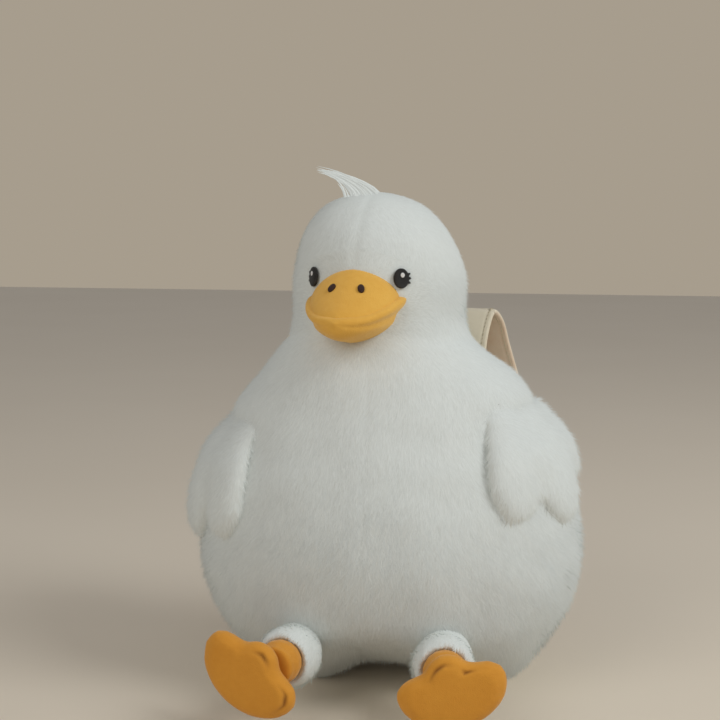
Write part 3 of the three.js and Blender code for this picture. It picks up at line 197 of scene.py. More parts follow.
class Tree(Net):
    """A node tree with named inputs that makes a mesh on a piece."""

    def __init__(self, name, **inputs):
        super().__init__(bpy.data.node_groups.new(name, "GeometryNodeTree"))
        sockets = self.tree.interface
        sockets.new_socket("Geometry", in_out="OUTPUT", socket_type="NodeSocketGeometry")
        self.identifiers = {}
        for key, kind in (("Geometry", "Geometry"), *inputs.items()):
            made = sockets.new_socket(key, in_out="INPUT", socket_type="NodeSocket" + kind)
            self.identifiers[key] = made.identifier
        self.entry = self.tree.nodes.new("NodeGroupInput")

    def given(self, key):
        return Wire(self, self.entry.outputs[key])

    def named(self, name, kind="FLOAT"):
        return self.node("GeometryNodeInputNamedAttribute", {"data_type": kind}, {"Name": name})

    def place(self):
        return self.node("GeometryNodeInputPosition")

    def store(self, mesh, name, value, kind, domain):
        return self.node("GeometryNodeStoreNamedAttribute", {"data_type": kind, "domain": domain},
                         {"Geometry": mesh, "Name": name, "Value": value})

    def chance(self, low, high, step):
        return self.node("FunctionNodeRandomValue", {"data_type": "FLOAT"},
                         {2: low, 3: high, "Seed": self.given("Seed") + step}, 1)

    def finish(self, mesh):
        mesh = self.node("GeometryNodeSetMaterial", None,
                         {"Geometry": mesh, "Material": self.given("Material")})
        self.feed(self.tree.nodes.new("NodeGroupOutput").inputs[0], mesh)
        return self

    def apply(self, thing, **values):
        """Runs the tree on a piece and keeps what it made as the piece's mesh."""
        made = thing.modifiers.new(self.tree.name, "NODES")
        made.node_group = self.tree
        for key, value in values.items():
            made[self.identifiers[key]] = value
        return settle(thing)


def rgb(r, g, b):
    """Linear colour from screen values of 0 to 255."""
    line = lambda v: (v / 255 / 12.92) if v < 10.3 else ((v / 255 + 0.055) / 1.055) ** 2.4
    return (line(r), line(g), line(b), 1.0)


# Materials
# Dark brown for the foot's folds: painted shade in the creases.
FOLD_SHADE_BROWN = rgb(116, 66, 10)


def plush_pile():
    f = Finish("plush_pile")
    tip, shade = f.value("tip"), f.value("shade")
    patch = f.noise(18, 2)
    white = f.tint(shade, rgb(210, 216, 214), rgb(225, 231, 230))
    # Tufts are painted darker towards the root: painted shade deep in the pile, which casts no shadow of its
    # own.
    colour = f.tint(tip * 0.6 + 0.4, rgb(212, 216, 213), white)
    return f.done(f.tint(patch * 0.2, colour, rgb(220, 219, 212)), 1.0, Specular_IOR_Level=0.1)


def plush_ground():
    f = Finish("plush_ground")
    fine, broad = f.noise(900, 2), f.noise(40, 3)
    colour = f.tint(broad, rgb(212, 217, 214), rgb(218, 224, 222))
    return f.done(colour, fine * 0.1 + 0.88, fine, 0.0005, 0.3, Specular_IOR_Level=0.1)


def cropped_plush():
    f = Finish("cropped_plush")
    fine, broad = f.noise(1400, 3), f.noise(30, 2)
    colour = f.tint(broad, rgb(228, 225, 216), rgb(240, 238, 231))
    return f.done(colour, fine * 0.1 + 0.88, fine, 0.0008, 0.8, Sheen_Weight=0.3)


def velour(name, deep, bright):
    f = Finish(name)
    nap, grain, cloud = f.noise(1600, 2), f.noise(240, 3), f.noise(26, 2)
    tone = cloud * 0.65 + grain * 0.35
    # Folds are painted dark brown: painted shade in the creases.
    colour = f.tint(f.value("fold_and_shade"), f.tint(tone, deep, bright), FOLD_SHADE_BROWN)
    return f.done(colour, nap * 0.15 + 0.78, nap * 0.7 + grain * 0.5, 0.0006, 0.7,
                  Sheen_Weight=0.35, Sheen_Roughness=0.45, Sheen_Tint=(1.0, 0.86, 0.6, 1.0))


def satin_thread(name, dark, light, gloss):
    f = Finish(name)
    strand = (f.run()[0] * CIRCLE).sin() * 0.5 + 0.5
    grain = f.noise(700, 2)
    colour = f.tint(strand * 0.7 + grain * 0.3, dark, light)
    return f.done(colour, grain * 0.2 + gloss, strand, 0.0004, 0.7)


def woven(name, dark, light, thread, ribs=1.0, inner=None):
    """Plain weave on the piece's own run, with its thread in metres. inner tints the under face."""
    f = Finish(name)
    u, v = f.run()
    over = (u * (CIRCLE / thread)).sin()
    under = (v * (CIRCLE / (thread * ribs))).sin()
    cross = over * under * 0.5 + 0.5
    slub, soil = f.noise(160, 3), f.noise(22, 3)
    colour = f.tint(cross * 0.45 + slub * 0.3 + soil * 0.3, dark, light)
    if inner:
        colour = f.tint(f.value("under"), colour, f.tint(cross * 0.5 + slub * 0.5, inner, light))
    return f.done(colour, slub * 0.15 + 0.8, cross, 0.0004, 0.6, Sheen_Weight=0.15)


def loose_cloth(name, dark, light, thread):
    f = Finish(name)
    x, _, z = f.axes(f.place())
    turn = CIRCLE / thread
    cross = (x * turn).sin() * (z * turn).sin() * 0.5 + 0.5
    soil = f.noise(30, 3)
    colour = f.tint(cross * 0.5 + soil * 0.5, dark, light)
    return f.done(colour, soil * 0.2 + 0.75, cross, 0.0003, 0.5)


def fibre():
    f = Finish("fibre_filling")
    strands = f.noise(220, 5, stretch=(1, 1, 0.3))
    colour = f.tint(strands, rgb(225, 224, 219), rgb(246, 245, 241))
    return f.done(colour, 0.95, strands, 0.002, 0.7)


def moulded(name, dark, light):
    f = Finish(name)
    grain, cloud = f.noise(900, 2), f.noise(60, 2)
    return f.done(f.tint(cloud, dark, light), grain * 0.12 + 0.38, grain, 0.0001, 0.4)


def dull_silver():
    f = Finish("dull_silver")
    brush, wear = f.noise(600, 3, stretch=(1, 1, 0.06)), f.noise(90, 3)
    colour = f.tint(wear, rgb(176, 174, 168), rgb(206, 204, 198))
    return f.done(colour, brush * 0.18 + wear * 0.14 + 0.24, brush, 0.00005, 0.4, Metallic=1.0)


def table_top():
    f = Finish("table_top")
    return f.done(f.tint(f.noise(2.2, 3), rgb(220, 208, 190), rgb(226, 215, 198)), 0.55)


LOOKS = {
    "pile": plush_pile(),
    "ground": plush_ground(),
    "cropped": cropped_plush(),
    "beak": velour("beak_velour", rgb(216, 154, 50), rgb(238, 190, 88)),
    "foot": velour("foot_velour", rgb(200, 130, 28), rgb(225, 158, 52)),
    "eye": satin_thread("eye_thread", rgb(14, 13, 13), rgb(38, 36, 35), 0.38),
    "nostril": satin_thread("nostril_thread", rgb(38, 16, 10), rgb(64, 30, 18), 0.5),
    "glint": satin_thread("glint_thread", rgb(226, 226, 224), rgb(250, 250, 250), 0.45),
    "strap": woven("strap_cloth", rgb(214, 202, 176), rgb(234, 225, 204), 0.0011, inner=rgb(216, 178, 144)),
    "webbing": woven("webbing_weave", rgb(206, 192, 162), rgb(230, 219, 194), 0.0016, 0.6),
    "tape": woven("zip_tape_weave", rgb(214, 204, 184), rgb(234, 227, 212), 0.0008, 1.4),
    "seam": satin_thread("seam_thread", rgb(196, 182, 150), rgb(224, 212, 184), 0.6),
    "lining": loose_cloth("lining_cloth", rgb(206, 196, 176), rgb(226, 218, 202), 0.0012),
    "fibre": fibre(),
    "teeth": moulded("zip_teeth_plastic", rgb(222, 214, 196), rgb(234, 228, 213)),
    "buckle": moulded("buckle_plastic", rgb(206, 198, 180), rgb(222, 215, 199)),
    "metal": dull_silver(),
    "table": table_top(),
}


# Curves, fades and routes
LUMP_WAVES = 9


def hermite(stations, at, column):
    """Smooth curve through one column of the stations, at each position."""
    at = np.clip(np.asarray(at, float), stations[0, 0], stations[-1, 0])
    x, y = stations[:, 0], stations[:, column]
    slope = np.gradient(y, x)
    slope[1:-1] = (y[2:] - y[:-2]) / (x[2:] - x[:-2])
    i = np.clip(np.searchsorted(x, at, side="right") - 1, 0, len(x) - 2)
    span = x[i + 1] - x[i]
    u = (at - x[i]) / span
    h = (2 * u ** 3 - 3 * u ** 2 + 1, u ** 3 - 2 * u ** 2 + u, -2 * u ** 3 + 3 * u ** 2, u ** 3 - u ** 2)
    return h[0] * y[i] + h[1] * span * slope[i] + h[2] * y[i + 1] + h[3] * span * slope[i + 1]


def unit(v):
    return v / np.maximum(np.linalg.norm(v, axis=-1, keepdims=True), 1e-9)


def bell(x, width):
    return np.exp(-(np.asarray(x) / width) ** 2)


def ease(x, low, high):
    t = np.clip((np.asarray(x, float) - low) / (high - low), 0, 1)
    return t * t * (3 - 2 * t)


def turned(x, y, angle):
    c, s = np.cos(angle), np.sin(angle)
    return c * x - s * y, s * x + c * y


def travelled(points):
    """Distance from the start of a line of points to each of them."""
    return np.concatenate([[0], np.cumsum(np.linalg.norm(np.diff(points, axis=0), axis=1))])


def lumps(points, scale, seed):
    """Smooth wandering value for each point, from a few waves in fixed directions."""
    pick = np.random.default_rng(seed)
    total = np.zeros(len(points))
    for _ in range(LUMP_WAVES):
        way = pick.normal(size=3)
        way *= 2 * math.pi / (np.linalg.norm(way) * scale * pick.uniform(0.7, 1.6))
        total += np.sin(points @ way + pick.uniform(0, 6.28))
    return total / (LUMP_WAVES / 2)


def smooth_route(places, count):
    """Even points on a centripetal curve through the places."""
    p = np.asarray(places, float)
    p = np.concatenate([[2 * p[0] - p[1]], p, [2 * p[-1] - p[-2]]])
    out = []
    for i in range(1, len(p) - 2):
        steps = np.linalg.norm(np.diff(p[i - 1:i + 3], axis=0), axis=1) ** 0.5
        knots = np.concatenate([[0], np.cumsum(steps)])
        t = np.linspace(knots[1], knots[2], 40)[:, None]
        mix = lambda a, b, i0, i1: ((knots[i1] - t) * a + (t - knots[i0]) * b) / (knots[i1] - knots[i0])
        a1, a2, a3 = (mix(p[i - 1 + k], p[i + k], k, k + 1) for k in range(3))
        b1, b2 = mix(a1, a2, 0, 2), mix(a2, a3, 1, 3)
        out.append(mix(b1, b2, 1, 2)[:-1])
    out.append(p[-2:-1])
    dense = np.concatenate(out)
    travel = travelled(dense)
    even = np.linspace(0, travel[-1], count)
    return np.stack([np.interp(even, travel, dense[:, k]) for k in range(3)], axis=1)


# Meshes
WELD = 0.02
BEVEL_FROM = 40 * DEG


def link(name, data):
    thing = bpy.data.objects.new(name, data)
    bpy.context.scene.collection.objects.link(thing)
    return thing


def mesh_object(name, points, faces, look):
    mesh = bpy.data.meshes.new(name)
    mesh.from_pydata((np.asarray(points, float) * MM).tolist(), [], [list(map(int, f)) for f in faces])
    mesh.update()
    mesh.materials.append(LOOKS[look])
    mesh.shade_smooth()
    return link(name, mesh)


def loft(rings, low, high):
    """Points and faces of a skin over rings of equal count, closed at a pole beyond each end."""
    rows, count = rings.shape[:2]
    points = np.concatenate([rings.reshape(-1, 3), [low, high]])
    pairs = [(c, (c + 1) % count) for c in range(count)]
    faces = []
    for start in range(0, (rows - 1) * count, count):
        faces += [(start + c, start + n, start + count + n, start + count + c) for c, n in pairs]
    top = (rows - 1) * count
    faces += [(rows * count, n, c) for c, n in pairs]
    faces += [(rows * count + 1, top + c, top + n) for c, n in pairs]
    return points, faces


def vertex_values(thing, what):
    values = np.empty(len(thing.data.vertices) * 3, np.float32)
    thing.data.vertices.foreach_get(what, values)
    return values.reshape(-1, 3).astype(float)


def coordinates(thing):
    return vertex_values(thing, "co") / MM


def normals(thing):
    return vertex_values(thing, "normal")


def place_points(thing, points):
    thing.data.vertices.foreach_set("co", (points * MM).astype(np.float32).ravel())
    thing.data.update()


def attribute(thing, name, kind, values):
    made = thing.data.attributes.new(name, kind, "POINT")
    values = np.asarray(values, np.int32 if kind == "INT" else np.float32)
    made.data.foreach_set("vector" if kind == "FLOAT_VECTOR" else "value", values.ravel())


def set_run(thing, run):
    """Gives a piece the run that its threads or its weave follow, from a place for each vertex."""
    corners = np.empty(len(thing.data.loops), np.int32)
    thing.data.loops.foreach_get("vertex_index", corners)
    layer = thing.data.uv_layers.new(name="run")
    layer.data.foreach_set("uv", run[corners].astype(np.float32).ravel())


def settle(thing):
    """Applies the object's modifiers to its mesh."""
    graph = bpy.context.evaluated_depsgraph_get()
    made = bpy.data.meshes.new_from_object(thing.evaluated_get(graph))
    old, name = thing.data, thing.data.name
    thing.modifiers.clear()
    thing.data = made
    bpy.data.meshes.remove(old)
    made.name = name
    return thing


def modify(thing, kind, **settings):
    added = thing.modifiers.new(kind.lower(), kind)
    for key, value in settings.items():
        setattr(added, key, value)
    return settle(thing)


def refine(thing):
    return modify(thing, "SUBSURF", levels=1, render_levels=1)


def node_copy(name, node, look):
    """Merged copy of a CAD node as a piece of its own."""
    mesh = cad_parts[node].data.copy()
    mesh.name = name
    mesh.materials.clear()
    mesh.materials.append(LOOKS[look])
    thing = modify(link(name, mesh), "WELD", merge_threshold=WELD * MM)
    thing.data.shade_smooth()
    return thing


def soft_copy(name, node, look, voxel, rounds):
    """CAD solid taken as a stuffed form: remeshed evenly and smoothed."""
    thing = node_copy(name, node, look)
    modify(thing, "REMESH", mode="VOXEL", voxel_size=voxel * MM, use_smooth_shade=True)
    modify(thing, "SMOOTH", factor=0.5, iterations=rounds)
    thing.data.materials.clear()
    thing.data.materials.append(LOOKS[look])
    return thing


def hard_copy(name, node, look, edge, segments):
    """CAD solid taken as a moulded form, with its edges broken."""
    thing = node_copy(name, node, look)
    thing.data.shade_flat()
    return modify(thing, "BEVEL", width=edge * MM, segments=segments,
                  limit_method="ANGLE", angle_limit=BEVEL_FROM)


def dress(thing, slot, *nodes, fill=None):
    """Hides the CAD nodes that a piece stands for. Its slot and fill are not used."""
    if nodes:
        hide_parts(*nodes)


def attach(thing, body, slot, *nodes, fill=None):
    dress(thing, slot, *nodes, fill=fill)
    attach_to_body(thing, body)


# Stuffing of the limbs: cloth under inner pressure, which moves no point further than the cap.
SWELL_PRESSURE, SWELL_CAP, SWELL_FRAMES = 4, 2.0, 20


def sew(thing, weights):
    """Holds a piece's cloth where it is sewn on, by weights of 0 to 1."""
    group = thing.vertex_groups.new(name="sewn")
    weights = np.round(weights, 2)
    for level in np.unique(weights[weights > 0]):
        group.add(np.flatnonzero(weights == level).tolist(), float(level), "REPLACE")


def swell(things):
    starts = {}
    for thing in things:
        starts[thing.name] = coordinates(thing)
        cloth = thing.modifiers.new("cloth", "CLOTH")
        cloth.settings.quality = 4
        cloth.settings.mass = 0.15
        cloth.settings.tension_stiffness = cloth.settings.compression_stiffness = 12
        cloth.settings.shear_stiffness = 6
        cloth.settings.bending_stiffness = 0.8
        cloth.settings.use_pressure = True
        cloth.settings.uniform_pressure_force = SWELL_PRESSURE
        cloth.settings.effector_weights.gravity = 0
        cloth.settings.vertex_group_mass = "sewn"
        cloth.collision_settings.use_collision = False
        cloth.point_cache.frame_start, cloth.point_cache.frame_end = 1, SWELL_FRAMES
    scene = bpy.context.scene
    for number in range(1, SWELL_FRAMES + 1):
        scene.frame_set(number)
    for thing in things:
        settle(thing)
        start = starts[thing.name]
        move = coordinates(thing) - start
        far = np.linalg.norm(move, axis=1, keepdims=True)
        place_points(thing, start + move * np.minimum(1, SWELL_CAP / np.maximum(far, 1e-9)))
    scene.frame_set(1)


# Pile, as tufts that a tree scatters over a skin by its pile, lay and zone attributes
BARE = 0.04
LIMB_WANDER, LIMB_SCALE, LIMB_SEEDS = 0.25, 40, (21, 22, 23)
CLUMP_SCALE, CLUMP_SHARE = 55.0, 1.6
TUFT_TALL, TUFT_FLAT, TUFT_BROAD = (0.7, 1.2), 0.26, 1.25
LIT_STRAY = 0.11
CELL_SHARE = 0.9
TABLE_GAP = 0.0003


def tuft_shape(net):
    """One three-sided spike. Its faces don't share their edges, so that each is lit by itself."""
    length = net.given("Length")
    tuft = net.node("GeometryNodeMeshCone", {"fill_type": "NGON"},
                    {"Vertices": 3, "Side Segments": 1, "Fill Segments": 1, "Radius Top": 0.0,
                     "Radius Bottom": net.given("Width") * 0.5, "Depth": length})
    own = Wire(net, tuft.socket.node.outputs["UV Map"])
    tuft = net.node("GeometryNodeSplitEdges", None, {0: tuft})
    tuft = net.node("GeometryNodeSetShadeSmooth", {"domain": "FACE"}, {0: tuft, "Shade Smooth": True})
    tuft = net.store(tuft, "tuft_uv", own, "FLOAT2", "CORNER")
    return net.store(tuft, "tip", net.axes(net.place())[2] / length, "FLOAT", "POINT")


def tuft_turn(net, normal, stray):
    """Turn of a tuft: between the skin's normal and its lay, with strays and clumps."""
    clump = net.node("ShaderNodeTexNoise", None,
                     {"Vector": net.place(), "Scale": CLUMP_SCALE, "Detail": 2.0}, "Color")
    clump = net.vector("SUBTRACT", clump, (0.5, 0.5, 0.5))
    lean, loose = net.given("Lean"), net.given("Stray")
    way = net.vector("SCALE", normal, scale=1 - lean)
    lay = net.named("lay", "FLOAT_VECTOR")
    for part, share in ((lay, lean), (stray, loose), (clump, loose * CLUMP_SHARE)):
        way = net.vector("ADD", way, net.vector("SCALE", part, scale=share))
    turn = net.node("FunctionNodeAlignRotationToVector", {"axis": "Z"}, {"Vector": way})
    return net.node("FunctionNodeAlignRotationToVector", {"axis": "X", "pivot_axis": "Z"},
                    {"Rotation": turn, "Vector": normal})


def tuft_mesh(net, planted):
    """The tufts as one mesh, each with a cell of its own in the OFBake map."""
    cells = net.node("GeometryNodeAttributeDomainSize", {"component": "INSTANCES"}, {0: planted}, 5)
    for operation in ("SQRT", "CEIL"):
        cells = net.node("ShaderNodeMath", {"operation": operation}, {0: cells})
    solid = net.node("GeometryNodeRealizeInstances", None, {"Geometry": planted})
    number = net.named("tuft_no")
    own = net.vector("MULTIPLY", net.named("tuft_uv", "FLOAT_VECTOR"), (CELL_SHARE, CELL_SHARE, 0))
    flat = net.vector("ADD", net.join(number % cells, (number / cells).floor()), own)
    return net.store(solid, "OFBake", net.vector("SCALE", flat, scale=cells ** -1.0), "FLOAT2", "CORNER")


def softly_lit(net, solid):
    """Lights a tuft much as the skin below it, on its under faces too, so that the pile reads as one
    soft surface with a fuzzy edge."""
    soft = net.named("lit", "FLOAT_VECTOR")
    facing = net.vector("DOT_PRODUCT", net.node("GeometryNodeInputNormal"), soft, "Value")
    below = (facing * -1) > 0
    return net.node("GeometryNodeSetMeshNormal", {"mode": "FREE", "domain": "POINT"},
                    {"Mesh": solid, "Custom Normal": net.vector("SCALE", soft, scale=1 - below * 2)})


def pile_tree():
    net = Tree("plush_tufts", Density="Float", Length="Float", Width="Float", Lean="Float",
               Stray="Float", Zone="Int", Seed="Int", Material="Material")
    here = net.node("FunctionNodeCompare", {"data_type": "INT", "operation": "EQUAL"},
                    {2: net.named("zone", "INT"), 3: net.given("Zone")})
    pile = net.named("pile")
    points = net.node("GeometryNodeDistributePointsOnFaces", {"distribute_method": "RANDOM"},
                      {"Mesh": net.given("Geometry"), "Selection": here,
                       "Density": net.given("Density") * (pile > BARE), "Seed": net.given("Seed")})
    normal = Wire(net, points.socket.node.outputs["Normal"])
    stray = net.node("FunctionNodeRandomValue", {"data_type": "FLOAT_VECTOR"},
                     {0: (-1, -1, -1), 1: (1, 1, 1), "Seed": net.given("Seed")})
    tall = net.chance(*TUFT_TALL, 1)
    planted = net.node("GeometryNodeInstanceOnPoints", None,
                       {"Points": points, "Instance": tuft_shape(net),
                        "Rotation": tuft_turn(net, normal, stray),
                        "Scale": net.join(tall * TUFT_FLAT, tall * TUFT_BROAD, tall * pile)})
    lit = net.vector("ADD", normal, net.vector("SCALE", stray, scale=LIT_STRAY))
    planted = net.store(planted, "shade", net.chance(0.0, 1.0, 2), "FLOAT", "INSTANCE")
    planted = net.store(planted, "lit", lit, "FLOAT_VECTOR", "INSTANCE")
    planted = net.store(planted, "tuft_no", net.node("GeometryNodeInputIndex"), "FLOAT", "INSTANCE")
    solid = tuft_mesh(net, planted)
    x, y, z = net.axes(net.place())
    clear = net.join(x, y, z.at_least(TABLE_GAP))
    solid = net.node("GeometryNodeSetPosition", None, {"Geometry": solid, "Position": clear})
    return net.finish(softly_lit(net, solid))


PILE_TREE = pile_tree()


def grow(name, skin, length, seed, zone=0, width=TUFT_WIDTH, density=TUFT_DENSITY,
         lean=TUFT_LEAN, stray=TUFT_STRAY):
    """Pile that grows on one zone of a skin, as a mesh of its own."""
    thing = link(name, skin.data.copy())
    PILE_TREE.apply(thing, Density=density * PER_SQUARE_METRE, Length=length * MM, Width=width * MM,
                    Lean=lean, Stray=stray, Zone=zone, Seed=seed, Material=LOOKS["pile"])
    for spare in ("pile", "lay", "zone", "tuft_uv", "tuft_no", "lit"):
        if spare in thing.data.attributes:
            thing.data.attributes.remove(thing.data.attributes[spare])
    thing.visible_shadow = thing.visible_diffuse = False
    return thing


def downhill(way, normal):
    """Direction along the surface that a wish leads to."""
    return unit(way - np.sum(way * normal, axis=1, keepdims=True) * normal)


def comb(thing, pile, lay, zone):
    attribute(thing, "pile", "FLOAT", pile)
    attribute(thing, "lay", "FLOAT_VECTOR", lay)
    attribute(thing, "zone", "INT", zone)


def groom(thing, wish, pile):
    """Even pile that lies one way, on a limb or wing."""
    points, normal = coordinates(thing), normals(thing)
    wander = np.stack([lumps(points, LIMB_SCALE, seed) for seed in LIMB_SEEDS], axis=1)
    lay = downhill(np.asarray(wish, float) + LIMB_WANDER * wander, normal)
    comb(thing, np.broadcast_to(pile, len(points)), lay, np.zeros(len(points)))


# Body and head skin: rings from the seat to the crown, slimmer by the depth of the pile
SKIN_ROWS, SKIN_COLUMNS, SEAT_ROWS = 92, 144, 12
STEM_SHARE, NECK_SOFT = 0.985, 28
TURN_SPAN, SHIFT_SPAN, LEAN_SPAN = (205, NECK_Z), (0.8 * NECK_Z, NECK_Z), (285, CROWN_Z)
SLIM_BODY, SLIM_HEAD, SLIM_SPAN = 0.988, 0.04, (225, 262)
BACK_FLAT, BACK_SOFT = BODY_BACK - 1, 4


def skin_rows():
    """Heights, half widths, fronts, backs and turns of the rings from the seat's edge to the crown."""
    low = np.linspace(0, NECK_Z, 400)
    body = [full * hermite(BODY_STATIONS, low / NECK_Z, column)
            for column, full in ((1, BODY_HALF), (2, BODY_FRONT), (3, BODY_BACK))]
    climb = np.sin(np.linspace(0, 1, 160) * math.pi / 2)
    dome = np.clip(1 - climb ** DOME_POWER, 0, 1) ** (1 / DOME_POWER)
    stem = np.linspace(0, DOME_FROM, 30)[1:-1]
    level = np.concatenate([stem, DOME_FROM + (1 - DOME_FROM) * climb])
    widen = STEM_SHARE + (1 - STEM_SHARE) * ease(stem, 0, DOME_FROM)
    head = HEAD_RADIUS * np.concatenate([widen, dome])
    z = np.concatenate([low, NECK_Z + HEAD_HEIGHT * level])
    sizes = [np.concatenate([a, head]) for a in body]
    turn = np.concatenate([HEAD_TURN * ease(low, *TURN_SPAN), np.full(len(level), HEAD_TURN)])
    travel = travelled(np.stack([z, sizes[1]], axis=1))
    rows = np.linspace(0, travel[-1], SKIN_ROWS)[:-1]
    z, *sizes, turn = [np.interp(rows, travel, a) for a in (z, *sizes, turn)]
    spread = bell(np.arange(-6, 7), 3.0)
    soften = lambda a: np.convolve(np.pad(a, 6, "edge"), spread / spread.sum(), "valid") - a
    slim = SLIM_BODY - SLIM_HEAD * ease(z, *SLIM_SPAN)
    sizes = [(a + bell(z - NECK_Z, NECK_SOFT) * soften(a)) * slim for a in sizes]
    return [z, *sizes, turn]


def skin_form():
    z, half, front, back, turn = (a[:, None] for a in skin_rows())
    bearing = np.arange(SKIN_COLUMNS)[None, :] / SKIN_COLUMNS * CIRCLE
    forward = np.cos(bearing)
    y = -forward * np.where(forward > 0, front, back)
    y = -BACK_SOFT * np.logaddexp(-y / BACK_SOFT, -BACK_FLAT / BACK_SOFT)
    x, y = turned(half * np.sin(bearing), y, turn)
    x = x + (NECK_SHIFT * ease(z, *SHIFT_SPAN) + CROWN_LEAN * ease(z, *LEAN_SPAN))
    rings = np.stack([x, y, np.broadcast_to(z, x.shape)], axis=2)
    seat = [rings[0] * [k, k, 0] + SEAT_Z * (1 - k) * UP for k in np.linspace(0.08, 0.94, SEAT_ROWS)]
    return loft(np.concatenate([seat, rings]), SEAT_Z * UP, [NECK_SHIFT + CROWN_LEAN, 0, CROWN_Z])


def head_frame(points):
    """Points as the turned head sees them, with the face towards -Y."""
    x, y = turned(points[:, 0] - NECK_SHIFT, points[:, 1], -HEAD_TURN)
    return np.stack([x, y, points[:, 2]], axis=1)


def head_way(ways):
    """Directions of the turned head, in the goose's frame."""
    ways = np.asarray(ways, float)
    x, y = turned(ways[..., 0], ways[..., 1], HEAD_TURN)
    return np.stack([x, y, ways[..., 2]], axis=-1)


def from_head(points):
    return head_way(points) + [NECK_SHIFT, 0, 0]


def panel_depth(points):
    """How far inside the panel's rounded outline a point lies, seen from behind."""
    middle, tall = (PANEL_LOW + PANEL_HIGH) / 2, (PANEL_HIGH - PANEL_LOW) / 2
    dx = np.abs(points[:, 0]) - (PANEL_HALF - PANEL_CORNER)
    dz = np.abs(points[:, 2] - middle) - (tall - PANEL_CORNER)
    outside = np.hypot(np.maximum(dx, 0), np.maximum(dz, 0)) + np.minimum(np.maximum(dx, dz), 0)
    return PANEL_CORNER - outside


# Where the limbs join the skin, and how far stuffing, seams, the back panel and the tuck move it
WING_HINGES = {"left": np.array([90.6, -19.5, 209]), "right": np.array([-99.5, -21.1, 195])}
LEG_ROOTS = np.array([[54.5, -104, 41], [-47, -106, 41]])
SHOULDER_SWELL, SHOULDER_WIDE, SHOULDER_TALL = 7, 48, 26
HIP_SWELL, HIP_WIDE = 6, 27
BROAD_LUMP, BROAD_SCALE, BROAD_FROM, BROAD_TO = 1.7, 95, (4, 30), (240, 280)
FINE_LUMP, FINE_SCALE = 0.5, 40
CROWN_SEAM_WIDE, CROWN_SEAM_DEEP, CROWN_SEAM_FRONT, CROWN_SEAM_FROM = 3.2, 0.45, (5, 30), (292, 302)
BELLY_SEAM_WIDE, BELLY_SEAM_DEEP, BELLY_SEAM_BEND, BELLY_SEAM_BENT = 3.0, 0.3, 6, (200, 250)
BELLY_SEAM_FRONT, BELLY_SEAM_FROM, BELLY_SEAM_TO = (20, 50), (20, 50), (215, 240)
CHIN_Z, CHIN_DIP, CHIN_WIDE, CHIN_DEEP, CHIN_FRONT = NECK_Z - 6, 5, 5, 1.2, (-10, 30)
PANEL_SINK, PANEL_EDGE, BACK_SPAN, SEAT_SPAN = 11.5, (1.5, 6.5), (60, 75), (0.7, 6)
TUCK, TUCK_MIDDLE, TUCK_ASIDE, TUCK_FRONT, TUCK_TOP = 21.0, 2, (12, 50), (-30, 40), (0, 72)


def tucked(points):
    """Points with the front of the seat drawn up between the legs."""
    between = 1 - ease(np.abs(points[:, 0] - TUCK_MIDDLE), *TUCK_ASIDE)
    lift = TUCK * between * ease(-points[:, 1], *TUCK_FRONT) * (1 - ease(points[:, 2], *TUCK_TOP))
    return points + np.outer(lift, UP)


def seam_draw(points):
    """How deep thread draws the skin in along the crown, the belly and under the chin."""
    face, up = head_frame(points), points[:, 2]
    front = -face[:, 1]
    crown = bell(face[:, 0], CROWN_SEAM_WIDE) * ease(front, *CROWN_SEAM_FRONT) * ease(up, *CROWN_SEAM_FROM)
    belly = bell(points[:, 0] + BELLY_SEAM_BEND * ease(up, *BELLY_SEAM_BENT), BELLY_SEAM_WIDE)
    belly *= ease(-points[:, 1], *BELLY_SEAM_FRONT)
    belly *= ease(up, *BELLY_SEAM_FROM) * (1 - ease(up, *BELLY_SEAM_TO))
    chin = bell(up - (CHIN_Z + CHIN_DIP * np.cos(np.arctan2(face[:, 0], front))), CHIN_WIDE)
    chin *= ease(front, *CHIN_FRONT)
    return CROWN_SEAM_DEEP * crown + BELLY_SEAM_DEEP * belly + CHIN_DEEP * chin


def stuffing_push(points):
    """How far stuffing pushes the skin out at shoulders and hips, and in lumps."""
    up = points[:, 2]
    push = 0 * up
    for hinge in WING_HINGES.values():
        above = up - hinge[2]
        near = np.hypot(points[:, 0] - hinge[0], points[:, 1] - hinge[1])
        tall = np.where(above > 0, bell(above, SHOULDER_TALL), ease(above, -SHOULDER_TALL, 0))
        push += SHOULDER_SWELL * bell(near, SHOULDER_WIDE) * tall
    for root in LEG_ROOTS:
        push += HIP_SWELL * bell(np.linalg.norm(points - root, axis=1), HIP_WIDE)
    broad = lumps(points, BROAD_SCALE, 3) * ease(up, *BROAD_FROM) * (1 - ease(up, *BROAD_TO))
    return push + BROAD_LUMP * broad + FINE_LUMP * lumps(points, FINE_SCALE, 5)


def make_skin():
    skin = refine(mesh_object("goose_skin", *skin_form(), "ground"))
    points = coordinates(skin)
    back = ease(points[:, 1], *BACK_SPAN)
    push = (stuffing_push(points) - seam_draw(points)) * (1 - back) * ease(points[:, 2], *SEAT_SPAN)
    sink = PANEL_SINK * ease(panel_depth(points), *PANEL_EDGE) * back
    points = points + normals(skin) * push[:, None]
    points[:, 1] -= sink
    place_points(skin, tucked(points))
    return skin


# Eyes and bill, which the pile makes room for, its parting on the crown, and its zones
EYE_Z, EYE_BEARING, EYE_SINK = 290, 32 * DEG, 2.6
BILL_Z, BILL_HALF, BILL_TALL, BILL_FRONT = 272, 36, 26, 20
PARTING_FRONT, PARTING_FROM = 5, (295, 305)
BODY_ZONES, FACE_ZONE, NAPE_ZONE, HEAD_ZONES_FROM = 6, 6, 7, 246

